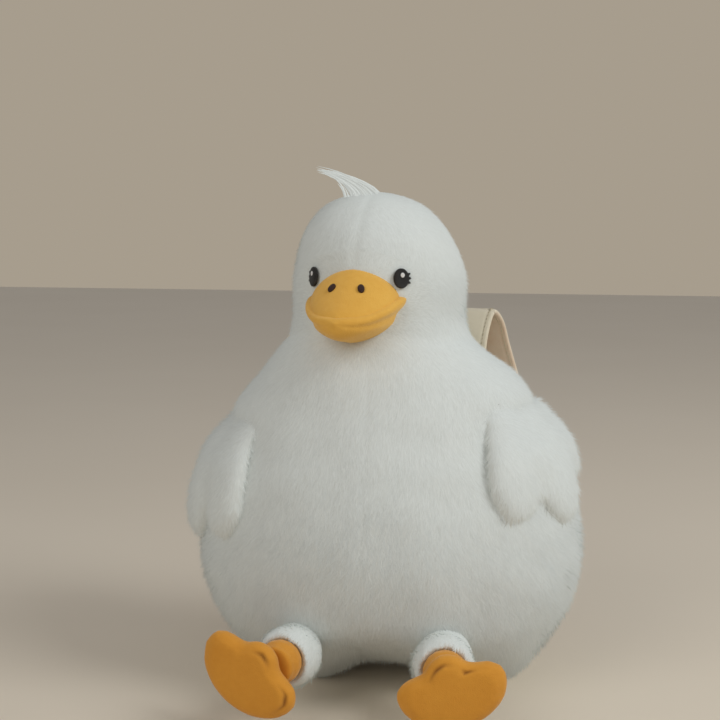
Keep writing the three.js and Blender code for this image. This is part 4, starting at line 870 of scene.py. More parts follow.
# Shares of the pile's full length, where it grows back to it and where the skin is bare
HEAD_PILE_TO = (225, 270)
SEAT_PILE, SEAT_PILE_FROM, SEAT_BARE = 0.25, (2, 14), 1.2
EYE_PILE, LID_PILE, EYE_NEAR, EYE_FAR = 0.15, 0.3, (5, 8), (8, 20)
BILL_PILE, BILL_PILE_FROM, BILL_BARE = 0.4, (1.0, 1.7), 0.75
PARTING_CUT, PARTING_WIDE, HAIR_FROM = 0.15, 3.5, (13, 34)
PANEL_MARGIN, PANEL_SIDE = 1.5, 70

# Shares of what draws the pile aside: the outward slope, wandering, the bill, the parting, upward skin
OUTWARD_LAY, WANDER_LAY, WANDER_SCALE, BILL_LAY_TO = 0.25, 0.35, 60, (1.0, 1.9)
PARTING_LAY, PARTING_LAY_WIDE, PARTING_FALL = 0.3, 9, 0.6
UPWARD_LAY, UPWARD_FROM = 1.6, (0.05, 0.5)

# Lock of hair on the crown, in the head's frame from the middle of the crown.
TUFT_ROUTE = np.array([[-5, -8, -9], [-11, -10, 1], [-21, -11, 8], [-33, -12, 13], [-46, -12, 16]])


def head_point(height, bearing, out):
    t = (height - NECK_Z) / HEAD_HEIGHT
    rise = np.clip((t - DOME_FROM) / (1 - DOME_FROM), 0, 1)
    radius = HEAD_RADIUS * (1 - rise ** DOME_POWER) ** (1 / DOME_POWER) + out
    return from_head([radius * math.sin(bearing), -radius * math.cos(bearing), height])


EYES = {name: head_point(EYE_Z, side * EYE_BEARING, -EYE_SINK) for name, side in SIDES}


def bill_reach(face):
    """How far out from the bill's middle a point of the face lies, with 1 at the bill's edge."""
    reach = np.hypot(face[:, 0] / BILL_HALF, (face[:, 2] - BILL_Z) / BILL_TALL)
    return np.where(face[:, 1] < -BILL_FRONT, reach, np.inf)


def parting(face):
    return (face[:, 1] < -PARTING_FRONT) * ease(face[:, 2], *PARTING_FROM)


def skin_pile(points, face):
    """Length of the pile as a share of the body's: short at the head, seat and eyes and round the bill."""
    up, bill, head = points[:, 2], bill_reach(face), PILE_HEAD / PILE_BODY
    pile = head + (1 - head) * (1 - ease(up, *HEAD_PILE_TO))
    pile *= SEAT_PILE + (1 - SEAT_PILE) * ease(up, *SEAT_PILE_FROM)
    for centre in EYES.values():
        far = np.linalg.norm(points - centre, axis=1)
        lid = LID_PILE * ease(far, *EYE_NEAR)
        pile *= EYE_PILE + lid + (1 - EYE_PILE - LID_PILE) * ease(far, *EYE_FAR)
    pile *= BILL_PILE + (1 - BILL_PILE) * ease(bill, *BILL_PILE_FROM)
    pile *= 1 - PARTING_CUT * bell(face[:, 0], PARTING_WIDE) * parting(face)
    root = from_head(TUFT_ROUTE[0] + CROWN_Z * UP)
    pile *= ease(np.linalg.norm(points - root, axis=1), *HAIR_FROM)
    under_panel = (panel_depth(points) > -PANEL_MARGIN) & (points[:, 1] > PANEL_SIDE)
    pile[(up < SEAT_BARE) | under_panel | (bill < BILL_BARE)] = 0
    return pile


def skin_lay(points, face, normal):
    """Way the pile lies: down, away from the bill and to both sides of the parting. It is longer where
    the skin faces up, so that the pile lies flatter there."""
    up, across = points[:, 2], face[:, 0]
    down = np.tile(-UP, (len(points), 1))
    down[:, :2] += OUTWARD_LAY * unit(points[:, :2])
    wander = [lumps(points, WANDER_SCALE, seed) for seed in (11, 12)]
    lay = downhill(down + WANDER_LAY * np.stack([*wander, 0 * up], axis=1), normal)
    away = head_way(unit(np.stack([across, 0 * up, up - BILL_Z], axis=1)))
    near = (1 - ease(bill_reach(face), *BILL_LAY_TO))[:, None]
    lay = downhill(lay * (1 - near) + away * near, normal)
    aside = head_way(np.stack([np.sign(across), 0 * up, 0 * up - PARTING_FALL], axis=1))
    part = PARTING_LAY * (bell(across, PARTING_LAY_WIDE) * parting(face))[:, None]
    lay = downhill(lay * (1 - part) + aside * part, normal)
    return lay * (1 + UPWARD_LAY * ease(normal[:, 2], *UPWARD_FROM))[:, None]


def groom_skin(skin):
    points, normal = coordinates(skin), normals(skin)
    face = head_frame(points)
    bearing = np.arctan2(points[:, 0], -points[:, 1])
    zone = np.floor((bearing + math.pi) / CIRCLE * BODY_ZONES).clip(0, BODY_ZONES - 1)
    head_zone = np.where(face[:, 1] < 0, FACE_ZONE, NAPE_ZONE)
    zone = np.where(points[:, 2] > HEAD_ZONES_FROM, head_zone, zone)
    comb(skin, skin_pile(points, face), skin_lay(points, face, normal), zone)


# Beak, in the head's frame: reach, half width, lip height, crown and chin.
UPPER_BEAK = np.array([
    [44, 30, 25.5, 19, 4], [54, 30.5, 24, 20.5, 4], [60, 30, 22.5, 21, 4], [67, 28, 20, 17.8, 4],
    [75, 24.5, 17, 13.5, 4], [83, 19.5, 14, 9.5, 3.8], [89, 13, 12.2, 6.2, 3.2], [92.5, 5, 11.4, 3, 1.6]])
LOWER_BEAK = np.array([
    [44, 34.5, 24, 4, 30.5], [54, 34.5, 22.5, 4, 29], [64, 32.5, 19.5, 4, 25], [74, 28.5, 16, 4, 20],
    [83, 22.5, 12.8, 4, 15.5], [90, 15.5, 11, 3.6, 11.5], [94.5, 7.5, 10.2, 2.8, 7], [96, 2.5, 10, 1.4, 2.5]])
BEAK_ROWS, BEAK_COLUMNS = 40, 72
RIM_BELOW, RIM_WIDE = 22, 9


def mandible(name, stations, above, below=1.0, tuck=0.0):
    """Stuffed mandible: oval sections along the beak. A fullness under 1 rounds that half into a roll,
    over 1 draws it to a keel, and tuck draws the cloth in below the rim."""
    start, end = stations[0, 0], stations[-1, 0]
    reach = start + (end - start) * np.sin(np.linspace(0, math.pi / 2, BEAK_ROWS))
    half, lip, rise, fall = (hermite(stations, reach, k)[:, None] for k in (1, 2, 3, 4))
    turn = np.arange(BEAK_COLUMNS) / BEAK_COLUMNS * CIRCLE
    across, up = np.cos(turn), np.sin(turn)
    full = np.where(up > 0, above, below)
    power = lambda v: np.sign(v) * np.abs(v) ** full
    pull = 1 - tuck * bell(np.arcsin(up) / DEG + RIM_BELOW, RIM_WIDE)
    x = half * power(across) * pull
    z = NECK_Z + lip + np.where(up > 0, rise, fall) * power(up) * pull
    rings = np.stack([x, np.broadcast_to(-reach[:, None], x.shape), z], axis=2)
    tip = [0, -end - 1, NECK_Z + stations[-1, 2]]
    points, faces = loft(rings, rings[0].mean(axis=0), tip)
    return refine(mesh_object(name, from_head(points), faces, "beak"))


# Stitched ovals
OVAL_ROWS, OVAL_COLUMNS, OVAL_ROOT = 14, 72, 1.6
LASH_LONG, LASH_WIDE = 0.3, 0.006
THREAD_PITCH = 0.55


def stitched_oval(name, centre, axes, half, tall, dome, look, tilt=0.0, lashes=()):
    """Satin-stitched oval: threads run across it, with a padded middle. Lashes spread from its rim.
    Its axes point across, up and out."""
    across, up, out = axes
    turn = np.arange(OVAL_COLUMNS) / OVAL_COLUMNS * CIRCLE
    lash = sum((LASH_LONG * bell(np.cos(turn - a) - 1, LASH_WIDE) for a in lashes), 0 * turn)
    rings = []
    for r in np.linspace(1, 0.06, OVAL_ROWS):
        spread = r * (1 + lash * r ** 12)
        a, b = turned(half * spread * np.cos(turn), tall * spread * np.sin(turn), tilt)
        lift = dome * math.sqrt(1 - r ** 2.6)
        rings.append(centre + np.outer(a, across) + np.outer(b, up) + lift * out)
    rings.insert(0, rings[0] - OVAL_ROOT * out)
    points, faces = loft(np.array(rings), rings[0].mean(axis=0), centre + dome * out)
    thing = mesh_object(name, points, faces, look)
    flat = (points - centre) @ np.stack([across, up], axis=1)
    set_run(thing, flat[:, ::-1] / THREAD_PITCH)
    return thing


# Hair
SPINE_POINTS, STRAND_STEPS, STRAND_SIDES, STRAND_THICK = 40, 8, 4, 1.05
HAIR_SPREAD, HAIR_GATHER, HAIR_TOSS = np.array([6.0, 4.4, 1.4]), 0.85, 1.2
# The last of these, the root's share of the tip's brightness, is painted shade at the root of the lock.
STRAND_TAPER, STRAND_TAPER_POWER, ROOT_SHADE = 0.93, 1.4, 0.4
HAIR_LIGHT = unit(np.array([0.35, -0.7, 0.6]))


def wisp(name, count, seed):
    """Lock of long pile: strands that spread at the root and draw together towards the tip."""
    spine = smooth_route(TUFT_ROUTE + CROWN_Z * UP, SPINE_POINTS)
    stops = np.linspace(0, 1, SPINE_POINTS)
    pick = np.random.default_rng(seed)
    turn = np.arange(STRAND_SIDES)[:, None] / STRAND_SIDES * CIRCLE
    points, faces, tips, shades = [], [], [], []
    for _ in range(count):
        reach = pick.uniform(0.3, 1.0)
        steps = np.linspace(0, reach, STRAND_STEPS)
        line = np.stack([np.interp(steps, stops, spine[:, k]) for k in range(3)], axis=1)
        line += np.outer(1 - HAIR_GATHER * steps, pick.normal(size=3) * HAIR_SPREAD)
        line[:, 2] += pick.normal() * HAIR_TOSS * steps
        ahead = unit(np.gradient(line, axis=0))
        across = unit(np.cross(ahead, [0, 1, 0.2]))
        over = np.cross(ahead, across)
        thick = STRAND_THICK * (1 - STRAND_TAPER * (steps / reach) ** STRAND_TAPER_POWER)
        spokes = np.cos(turn) * across[:, None, :] + np.sin(turn) * over[:, None, :]
        rings = line[:, None, :] + thick[:, None, None] * spokes
        own, skin_faces = loft(rings, line[0], line[-1] + ahead[-1] * 0.5)
        faces += [[i + len(points) for i in face] for face in skin_faces]
        points += list(own)
        # Strands are painted darker towards the root: painted shade in the lock.
        tone = ROOT_SHADE + (1 - ROOT_SHADE) * steps / reach
        tips += [*np.repeat(tone, STRAND_SIDES), ROOT_SHADE, 1.0]
        shades += [pick.uniform()] * len(own)
    thing = mesh_object(name, from_head(points), faces, "pile")
    soft = unit(0.4 * normals(thing) + HAIR_LIGHT)
    thing.data.normals_split_custom_set_from_vertices(soft.tolist())
    attribute(thing, "tip", "FLOAT", tips)
    attribute(thing, "shade", "FLOAT", shades)
    return thing


# Feet, each in its own frame: outline by bearing from the middle toe, and the folds along the toes
# as bearing and half span.
FOOT_OUTLINE = np.array([[0, 27.5], [20, 26], [40, 23.5], [54, 28.5], [68, 35.5], [82, 37], [100, 34],
                         [128, 27.5], [155, 23.5], [180, 22.5]])
FOOT_AT = {"left": [58.658, -125.567, 41.0], "right": [-50.468, -127.683, 42.047]}
FOOT_TURN, FOOT_LEAN = {"left": 6, "right": -8}, {"left": 16, "right": -36}
FOOT_MIDDLE = {"left": [6, -8], "right": [-15, -6]}
FOOT_FOLDS = {"left": ((-14, 20), (42, 8)), "right": ((4, 15), (76, 13))}
# The last of these sets how strongly shade is painted into the folds.
FOLD_INSIDE, FOLD_WIDE, FOLD_DEEP, FOLD_SHADE_TINT = 5.6, 1.3, 1.6, 0.75
RIM_INSIDE, RIM_BROAD, RIM_DEEP, RIM_HALF = 4.5, 2.5, 0.5, 105
SOLE = -19.5


def foot_place(thing, name):
    """Bearing, distance inside the outline and depth of each point of a foot."""
    x, y, z = (coordinates(thing) - FOOT_AT[name]).T
    across, deep = turned(x, y, -FOOT_TURN[name] * DEG)
    across, rise = across - FOOT_MIDDLE[name][0], z - FOOT_MIDDLE[name][1]
    bearing = np.arctan2(across, rise) / DEG + FOOT_LEAN[name]
    bearing = (bearing + 180) % 360 - 180
    edge = np.interp(np.abs(bearing), FOOT_OUTLINE[:, 0], FOOT_OUTLINE[:, 1])
    return bearing, edge - np.hypot(across, rise), deep


def fold_foot(thing, name):
    """Draws the sole in along the folds behind the toes, and paints shade into those folds."""
    bearing, inside, deep = foot_place(thing, name)
    sole = deep < SOLE
    fold_and_shade = sum(bell(bearing - middle, span) for middle, span in FOOT_FOLDS[name])
    fold_and_shade = fold_and_shade * bell(inside - FOLD_INSIDE, FOLD_WIDE) * sole
    rim = bell(inside - RIM_INSIDE, RIM_BROAD) * (np.abs(bearing) < RIM_HALF) * sole
    draw = FOLD_DEEP * fold_and_shade + RIM_DEEP * rim
    place_points(thing, coordinates(thing) - normals(thing) * draw[:, None])
    # The folds carry painted shade into the foot's colour.
    attribute(thing, "fold_and_shade", "FLOAT", FOLD_SHADE_TINT * np.clip(fold_and_shade, 0, 1))


# Bands of cloth and the seams along their edges
BAND_POINTS, BAND_CROWDING, BAND_EDGE = 23, 1.5, 14
SEAM_INSET, SEAM_GROOVE, SEAM_LEVEL = 3.5, 0.9, 0.86
STITCH_PITCH, STITCH_LONG, STITCH_THREAD = 3.2, 2.6, 0.75


def band_ways(route, lie):
    """Ways across and over a band, at each point of its route."""
    ahead = unit(np.gradient(route, axis=0))
    lie = np.asarray(lie, float)
    wide = unit(lie - (ahead @ lie)[:, None] * ahead)
    return wide, np.cross(ahead, wide)


def band(name, route, half, thick, look, lie=ACROSS, crown=0.35, groove=0.0):
    """Flat band along a route, with rounded edges, a crowned face and a run for its weave."""
    wide, over = band_ways(route, lie)
    side = np.linspace(-1, 1, BAND_POINTS)
    side = np.sign(side) * (1 - (1 - np.abs(side)) ** BAND_CROWDING)
    body = thick * (1 - crown + crown * (1 - side ** 2)) * (1 - np.abs(side) ** BAND_EDGE) ** 0.5
    for edge in (-1, 1):
        body = body * (1 - groove * bell(side * half - edge * (half - SEAM_INSET), SEAM_GROOVE))
    across = np.concatenate([side * half, side[::-1][1:-1] * half])
    lift = np.concatenate([body, -body[::-1][1:-1]])
    section = across[:, None] * wide[:, None, :] + lift[:, None] * over[:, None, :]
    rings = route[:, None, :] + section
    points, faces = loft(rings, rings[0].mean(axis=0), rings[-1].mean(axis=0))
    thing = mesh_object(name, points, [f[::-1] for f in faces], look)
    travel = travelled(route)
    run = np.stack([np.tile(across, len(route)), np.repeat(travel, len(across))], axis=1)
    set_run(thing, np.concatenate([run, [[0, 0], [0, travel[-1]]]]) * MM)
    attribute(thing, "under", "FLOAT", np.concatenate([np.tile(lift < 0, len(route)), [False, False]]))
    return thing


def seam_lines(route, half, thick):
    """Lines just under both faces of a band, along both of its edges."""
    wide, over = band_ways(route, ACROSS)
    return [route + wide * (edge * (half - SEAM_INSET)) + over * face * thick * SEAM_LEVEL
            for edge in (-1, 1) for face in (-1, 1)]


def stitch_tree():
    """Rows of thread: short rounded stitches set along each line, end to end."""
    net = Tree("stitch_rows", Pitch="Float", Stitch="Float", Thread="Float", Material="Material")
    line = net.node("GeometryNodeMeshToCurve", None, {0: net.given("Geometry")})
    line = net.node("GeometryNodeResampleCurve", {"mode": "LENGTH"},
                    {"Curve": line, "Length": net.given("Pitch")})
    points = net.node("GeometryNodeCurveToPoints", {"mode": "EVALUATED"}, {"Curve": line})
    turn = Wire(net, points.socket.node.outputs["Rotation"])
    stitch = net.node("GeometryNodeMeshUVSphere", None, {"Segments": 6, "Rings": 5, "Radius": 0.5})
    size = net.join(net.given("Thread"), net.given("Thread"), net.given("Stitch"))
    sewn = net.node("GeometryNodeInstanceOnPoints", None,
                    {"Points": points, "Instance": stitch, "Rotation": turn, "Scale": size})
    sewn = net.node("GeometryNodeRealizeInstances", None, {"Geometry": sewn})
    return net.finish(net.node("GeometryNodeSetShadeSmooth", None, {"Geometry": sewn}))


STITCH_TREE = stitch_tree()


def stitches(name, lines):
    points, edges = [], []
    for line in lines:
        edges += [(len(points) + k, len(points) + k + 1) for k in range(len(line) - 1)]
        points += list(line)
    mesh = bpy.data.meshes.new(name)
    mesh.from_pydata((np.array(points) * MM).tolist(), edges, [])
    thing = link(name, mesh)
    STITCH_TREE.apply(thing, Pitch=STITCH_PITCH * MM, Stitch=STITCH_LONG * MM,
                      Thread=STITCH_THREAD * MM, Material=LOOKS["seam"])
    set_run(thing, coordinates(thing)[:, [0, 2]] * 3)
    return thing


# Goose skin and its pile
SHORT_TUFTS = {"width": 0.7, "density": 1.5, "stray": 0.2}
SKIN_SEED = 10

skin = make_skin()
groom_skin(skin)
for zone in range(BODY_ZONES):
    patch = grow(f"body_pile_{zone}", skin, PILE_BODY, SKIN_SEED + zone, zone)
    attach(patch, "goose", "white_plush")
for zone, part in ((FACE_ZONE, "face"), (NAPE_ZONE, "nape")):
    patch = grow(f"{part}_pile", skin, PILE_BODY, SKIN_SEED + zone, zone, **SHORT_TUFTS)
    attach(patch, "goose", "white_plush")
attach(skin, "goose", "white_plush", "body_cover", "head_cover", "seat_panel", fill=0.7)

# Wings, legs and feet. A wing's front is turned out and its top drawn into the shoulder, and a leg's root
# reaches further into the body.
WING_VOXEL, LEG_VOXEL, FOOT_VOXEL, ANKLE_VOXEL = 4.0, 4.0, 2.4, 1.4
WING_SEWN, LEG_SEWN, LEG_HEM, FOOT_SEWN = (6, 24), (92, 104), (114, 121), (2, 7)
WING_SINK, WING_TOP = 7, (-36, 6)
WING_SPREAD, WING_NARROW, WING_FRONT, WING_HIGH = 6.5 * DEG, 0.022, (10, 80), (-90, -20)
WING_LEAN, LEG_LEAN, WING_SEED, LEG_SEED = 0.8, 0.84, 30, 40
WING_UNDER_CUT, WING_UNDER = 0.6, (0.35, 0.8)
LEG_REACH, LEG_ROOT, LEG_BARE, LEG_END_CUT, LEG_END = 8, (-107, -90), (103, 109), 0.65, (0.5, 0.9)


def spread_wing(wing, hinge, side):
    at = coordinates(wing)
    at = at - np.outer(WING_SINK * ease(at[:, 2] - hinge[2], *WING_TOP), unit(hinge * [1, 1, 0]))
    reach = ease(-at[:, 1], *WING_FRONT) * ease(at[:, 2] - hinge[2], *WING_HIGH)
    near = 1 - WING_NARROW * reach
    x, y = turned(near * at[:, 0], near * at[:, 1], -side * WING_SPREAD * reach)
    place_points(wing, np.stack([x, y, at[:, 2]], axis=1))


wings, legs, feet = {}, {}, {}
for name, side in SIDES:
    wing = wings[name] = soft_copy(f"wing_skin_{name}", f"wing_{name}", "ground", WING_VOXEL, 4)
    sew(wing, 1 - ease(WING_HINGES[name][2] - coordinates(wing)[:, 2], *WING_SEWN))
    leg = legs[name] = soft_copy(f"leg_skin_{name}", f"leg_{name}", "ground", LEG_VOXEL, 2)
    forward = -coordinates(leg)[:, 1]
    sew(leg, np.maximum(1 - ease(forward, *LEG_SEWN), ease(forward, *LEG_HEM)))
    foot = feet[name] = soft_copy(f"foot_{name}_stuffed", f"foot_{name}", "foot", FOOT_VOXEL, 4)
    sew(foot, 1 - ease(foot_place(foot, name)[1], *FOOT_SEWN))
swell([*wings.values(), *legs.values(), *feet.values()])
for name, side in SIDES:
    wing, leg, foot = wings[name], legs[name], feet[name]
    for thing in (wing, leg, foot):
        refine(thing)
    fold_foot(foot, name)
    spread_wing(wing, WING_HINGES[name], side)
    groom(wing, -UP, 1 - WING_UNDER_CUT * ease(-normals(wing)[:, 2], *WING_UNDER))
    pile = grow(f"wing_pile_{name}", wing, PILE_WING, WING_SEED + side, lean=WING_LEAN)
    attach(pile, f"wing_{name}", "white_plush")
    attach(wing, f"wing_{name}", "white_plush", f"wing_{name}", fill=0.6)
    ahead, at = -normals(leg)[:, 1], coordinates(leg)
    at = at + np.outer(LEG_REACH * ease(at[:, 1], *LEG_ROOT), [0, 1, 0.2])
    place_points(leg, at)
    length = (1 - LEG_END_CUT * ease(ahead, *LEG_END)) * ease(-at[:, 1], *LEG_BARE)
    groom(leg, [0.1 * side, -1, -0.3], length)
    pile = grow(f"leg_pile_{name}", leg, PILE_LEG, LEG_SEED + side, lean=LEG_LEAN)
    attach(pile, f"leg_{name}", "white_plush")
    attach(leg, f"leg_{name}", "white_plush", f"leg_{name}", fill=0.7)
    attach(foot, f"foot_{name}", "orange_plush", f"foot_{name}", fill=0.8)
    ankle = soft_copy(f"ankle_{name}_cuff", f"ankle_{name}", "foot", ANKLE_VOXEL, 4)
    attach(ankle, f"foot_{name}", "orange_plush", f"ankle_{name}", fill=0.6)

# Beak
upper = mandible("beak_upper_stuffed", UPPER_BEAK, above=1.15)
attach(upper, "goose", "orange_plush", "beak_upper", fill=0.8)
lower = mandible("beak_lower_stuffed", LOWER_BEAK, above=0.72, below=1.2, tuck=0.08)
attach(lower, "goose", "orange_plush", "beak_lower", fill=0.8)

# Eyes, glints and nostrils: half width, half height and dome. An eye faces further round than it stands.
EYE_OVAL, GLINT_OVAL, NOSTRIL_OVAL = (5.4, 6.8, 1.0), (1.5, 1.7, 0.5), (2.3, 3.5, 0.8)
EYE_FACING, EYE_RISE, EYE_PROUD = {"left": 1.2, "right": 1.45}, 0.06, 1.1
GLINT_PROUD, GLINT_ASIDE, GLINT_HIGH = 2.0, 0.5, 2.2
LASH_FAN = 22 * DEG
NOSTRIL_AT, NOSTRIL_OUT, NOSTRIL_UP = [10.5, -72.5, 284.4], [0.26, -0.94, 1.0], [0, 0.73, 0.69]
NOSTRIL_TILT = 0.35

for name, side in SIDES:
    facing = side * EYE_BEARING * EYE_FACING[name]
    out = unit(head_way([math.sin(facing), -math.cos(facing), EYE_RISE]))
    across = unit(np.cross(UP, out))
    up = np.cross(out, across)
    lashes = [math.pi / 2 - side * (math.pi / 2 + k * LASH_FAN) for k in (-1, 0, 1)]
    eye = stitched_oval(f"eye_{name}_thread", EYES[name] + EYE_PROUD * out, (across, up, out),
                        *EYE_OVAL, "eye", lashes=lashes)
    attach(eye, "goose", "dark_thread", f"eye_{name}")
    spot = EYES[name] + GLINT_PROUD * out + across * GLINT_ASIDE + up * GLINT_HIGH
    glint = stitched_oval(f"eye_glint_{name}_thread", spot, (across, up, out), *GLINT_OVAL, "glint")
    attach(glint, "goose", "white_thread", f"eye_glint_{name}")
    mirror = np.array([side, 1, 1])
    brow, rise = unit(head_way(NOSTRIL_OUT * mirror)), unit(head_way(NOSTRIL_UP))
    nostril = stitched_oval(f"nostril_{name}_thread", from_head(NOSTRIL_AT * mirror),
                            (np.cross(rise, brow), rise, brow), *NOSTRIL_OVAL, "nostril",
                            tilt=side * NOSTRIL_TILT)
    attach(nostril, "goose", "brown_thread", f"nostril_{name}")

# Straps, each from its lower tab to its root at the shoulder, with places from those two points
STRAP_ROOT, TAB_POINT = np.array([45, 76.5, 203.0]), np.array([103.3548, 62.914, 36.2689])
FROM_TAB = {"left": [[6.5, 42.5, 55], [0.5, 53.5, 81], [-13.5, 59.5, 113]],
            "right": [[44.5, 25.5, 21], [57.5, 34.5, 43], [47.5, 45.5, 78], [25.5, 51.5, 118]]}
FROM_ROOT = {"left": [[27, 45.5, -13], [17, 39.5, 22], [12, 28.5, 45], [7, 13.5, 53], [3, 1.5, 37]],
             "right": [[63, 37.5, -8], [45, 29.5, 22], [31, 16.5, 35], [15, 4.5, 27]]}
STRAP_HALF, STRAP_THICK, STRAP_GROOVE, STRAP_LAST, STRAP_FIRST = 14, 3, 0.25, 119, 2
STRAP_STRAIGHT, ROOT_DROP, BLEND_RISE = 7, 4, 4
WEB_HALF, WEB_THICK, WEB_CROWN, WEB_FROM, WEB_BEYOND, WEB_WIDTH = 10, 1.1, 0.1, 3, 10, 0.02
TAB_HALF, TAB_THICK, TAB_CROWN, TAB_LONG = 10, 2.3, 0.3, 11
BUCKLE_EDGE = 0.7

for name, side in SIDES:
    mirror = np.array([side, 1, 1])
    root, tab = STRAP_ROOT * mirror, TAB_POINT * mirror
    places = np.concatenate([TAB_POINT + FROM_TAB[name], STRAP_ROOT + FROM_ROOT[name]]) * mirror
    first, ahead = places[0], unit(places[0] - tab)
    low, high = [first, first + ahead * STRAP_STRAIGHT], [root, root - ROOT_DROP * UP]
    places = np.concatenate([low, places[1:], high])
    route = smooth_route(places, STRAP_LAST + 1)
    top = int(np.argmax(route[:, 2]))
    for part, start, end, node in (("band", STRAP_FIRST, top, f"strap_{name}"),
                                   ("head", top, STRAP_LAST, f"strap_end_{name}")):
        line = route[start:end + 1]
        strap = band(f"strap_{name}_{part}", line, STRAP_HALF, STRAP_THICK, "strap", groove=STRAP_GROOVE)
        sewn = stitches(f"strap_{name}_{part}_stitches", seam_lines(line, STRAP_HALF, STRAP_THICK))
        dress(strap, "strap_cloth", node, fill=0.5)
        dress(sewn, "strap_cloth")
        for thing in (strap, sewn):
            if part == "band":
                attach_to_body(thing, f"strap_{name}")
            else:
                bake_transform(thing)
    web = np.linspace(tab + ahead * WEB_FROM, first + ahead * WEB_BEYOND, 30)
    webbing = band(f"webbing_{name}_strip", web, WEB_HALF, WEB_THICK, "webbing", crown=WEB_CROWN)
    attach(webbing, f"strap_{name}", "webbing_cloth", f"webbing_{name}")
    inward = unit(tab * [1, 1, 0])
    tab_route = smooth_route([tab - inward * TAB_LONG, tab, tab + ahead * TAB_LONG], 24)
    patch = band(f"strap_tab_{name}_patch", tab_route, TAB_HALF, TAB_THICK, "strap", crown=TAB_CROWN)
    attach(patch, "goose", "strap_cloth", f"strap_tab_{name}")
    adjuster = hard_copy(f"adjuster_{name}_buckle", f"adjuster_{name}", "buckle", BUCKLE_EDGE, 3)
    attach(adjuster, f"adjuster_{name}", "buckle_plastic", f"adjuster_{name}")

# Carrying loop
LOOP_RADIUS, LOOP_OUT, LOOP_FOOT, LOOP_SPRING, LOOP_HALF, LOOP_FLAT = 15, 92.3, 209, 227, 6, (0.012, 0.084)

arch = [[-LOOP_RADIUS * math.cos(a), LOOP_OUT, LOOP_SPRING + LOOP_RADIUS * math.sin(a)]
        for a in np.linspace(0, math.pi, 13)]
loop_path = [[-LOOP_RADIUS, LOOP_OUT, LOOP_FOOT], *arch, [LOOP_RADIUS, LOOP_OUT, LOOP_FOOT]]
loop = band("carry_loop_strip", smooth_route(loop_path, 60), LOOP_HALF, WEB_THICK, "webbing",
            lie=ALONG, crown=WEB_CROWN)
attach(loop, "carry_loop", "webbing_cloth", "carry_loop")
seam_roll = soft_copy("loop_seam_binding", "loop_seam", "strap", 0.8, 4)
attach(seam_roll, "goose", "strap_cloth", "loop_seam")

# Back panel, with a nap that is shorter beside the zip
PANEL_VOXEL, PANEL_FACE, ZIP_SIDE, NAP_BY_ZIP, NAP_SEED = 1.6, 83, (14, 22), 0.3, 60

panel = soft_copy("back_panel_pad", "back_panel", "cropped", PANEL_VOXEL, 6)
at = coordinates(panel)
nap = NAP_BY_ZIP + (1 - NAP_BY_ZIP) * ease(np.abs(at[:, 0]), *ZIP_SIDE)
groom(panel, -UP, np.where(at[:, 1] > PANEL_FACE, nap, 0.0))
nap = grow("back_panel_nap", panel, PILE_BACK, NAP_SEED, width=0.9, density=0.9)
attach(nap, "goose", "back_plush")
attach(panel, "goose", "back_plush", "back_panel", fill=0.4)

# Zip
TAPE_ASIDE, TAPE_OUT, TAPE_GAP, TAPE_HALF, TAPE_THICK = 11.1, 79.2, 0.2, 6.5, 0.5
ZIP_EDGE = 0.22
ZIP_BODIES = {"zip_slider": "zip_slider", "zip_pull": "zip_pull"}
ZIP_METAL = ("zip_slider", "zip_pull", "zip_bottom_stop", "zip_top_stop_left", "zip_top_stop_right")

for name, side in SIDES:
    tape = np.linspace([side * TAPE_ASIDE, TAPE_OUT, SLOT_LOW + TAPE_GAP],
                       [side * TAPE_ASIDE, TAPE_OUT, SLOT_HIGH - TAPE_GAP], 40)
    strip = band(f"zip_tape_{name}_strip", tape, TAPE_HALF, TAPE_THICK, "tape", crown=0.0)
    attach(strip, "goose", "webbing_cloth", f"zip_tape_{name}")
for node in (*ZIP_METAL, "zip_teeth_left", "zip_teeth_right"):
    look, slot = ("metal", "zip_metal") if node in ZIP_METAL else ("teeth", "zip_plastic")
    part = hard_copy(f"{node}_moulded", node, look, ZIP_EDGE, 2)
    attach(part, ZIP_BODIES.get(node, "goose"), slot, node)

# Inner layers. The head's filling is drawn in from the slimmer skin.
HEAD_MIDDLE, HEAD_FILL_SHARE = np.array([NECK_SHIFT, 0, 290.0]), 0.93

wadding = node_copy("body_wadding_inside", "body_wadding", "fibre")
place_points(wadding, tucked(coordinates(wadding)))
attach(wadding, "goose", "wadding", "body_wadding", fill=0.7)
filling = node_copy("head_filling_inside", "head_filling", "fibre")
place_points(filling, (coordinates(filling) - HEAD_MIDDLE) * HEAD_FILL_SHARE + HEAD_MIDDLE)
attach(filling, "goose", "wadding", "head_filling", fill=0.7)
pouch = node_copy("lining_pouch_inside", "lining_pouch", "lining")
place_points(pouch, tucked(coordinates(pouch)))
attach(pouch, "goose", "lining", "lining_pouch")

# Lock of hair
hair = wisp("hair_tuft_wisp", 120, 5)
hair.visible_shadow = hair.visible_diffuse = False
attach(hair, "goose", "white_plush", "hair_tuft")

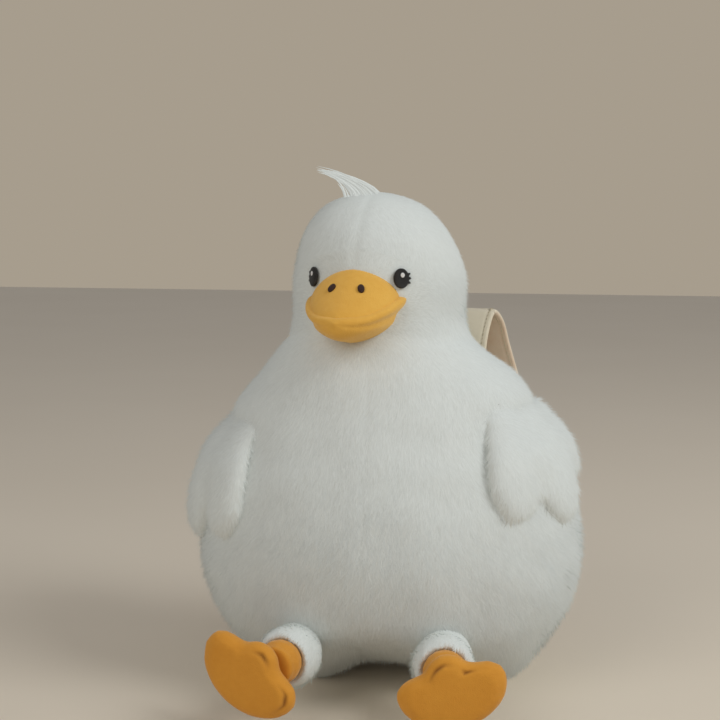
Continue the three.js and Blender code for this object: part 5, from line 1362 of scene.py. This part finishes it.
# Stage, light and camera. BESIDE is how many pixels of the picture the goose stands from its middle.
FLOOR_HALF, LAMP_AIM = 4000, (0, 0, 0.15)
ROOM_LIGHT, BACKDROP, ROOM_STRENGTH = (0.62, 0.61, 0.6, 1), rgb(220, 207, 187), 0.54
LENS, SENSOR, PICTURE, BESIDE = 75, 36, 720, 30
AZIMUTH, DISTANCE, CAMERA_HEIGHT, PITCH = 10 * DEG, 1.07, 0.35, 6.5 * DEG

corners = np.array([[-1, -1, 0], [1, -1, 0], [1, 1, 0], [-1, 1, 0]]) * FLOOR_HALF
floor = mesh_object("floor", corners, [(0, 1, 2, 3)], "table")


def point_at(thing, place, way):
    thing.location = place
    thing.rotation_euler = way.to_track_quat("-Z", "Y").to_euler()


def lamp(name, place, size, power, colour):
    light = bpy.data.lights.new(name, "AREA")
    light.shape, light.size, light.energy, light.color = "DISK", size, power, colour
    point_at(link(name, light), place, Vector(LAMP_AIM) - Vector(place))


lamp("window", (1.65, -0.5, 1.5), size=1.2, power=23, colour=(0.98, 1.0, 1.0))
lamp("room", (-1.0, -1.8, 1.4), size=1.6, power=12, colour=(1.0, 0.97, 0.92))

world = bpy.data.worlds.new("room_air")
bpy.context.scene.world = world
world.use_nodes = True
air = Net(world.node_tree)
sky = world.node_tree.nodes["Background"]
shown = air.node("ShaderNodeLightPath", out="Is Camera Ray")
air.feed(sky.inputs["Color"], air.tint(shown, ROOM_LIGHT, BACKDROP))
air.feed(sky.inputs["Strength"], ROOM_STRENGTH)

camera = bpy.data.cameras.new("camera")
camera.lens, camera.sensor_width = LENS, SENSOR
heading = AZIMUTH + math.atan(BESIDE / (PICTURE * LENS / SENSOR))
stand = (DISTANCE * math.sin(AZIMUTH), -DISTANCE * math.cos(AZIMUTH), CAMERA_HEIGHT)
level = math.cos(PITCH)
view = link("camera", camera)
point_at(view, stand, Vector((-math.sin(heading) * level, math.cos(heading) * level, -math.sin(PITCH))))
bpy.context.scene.camera = view
bpy.context.scene.view_settings.view_transform = "Standard"
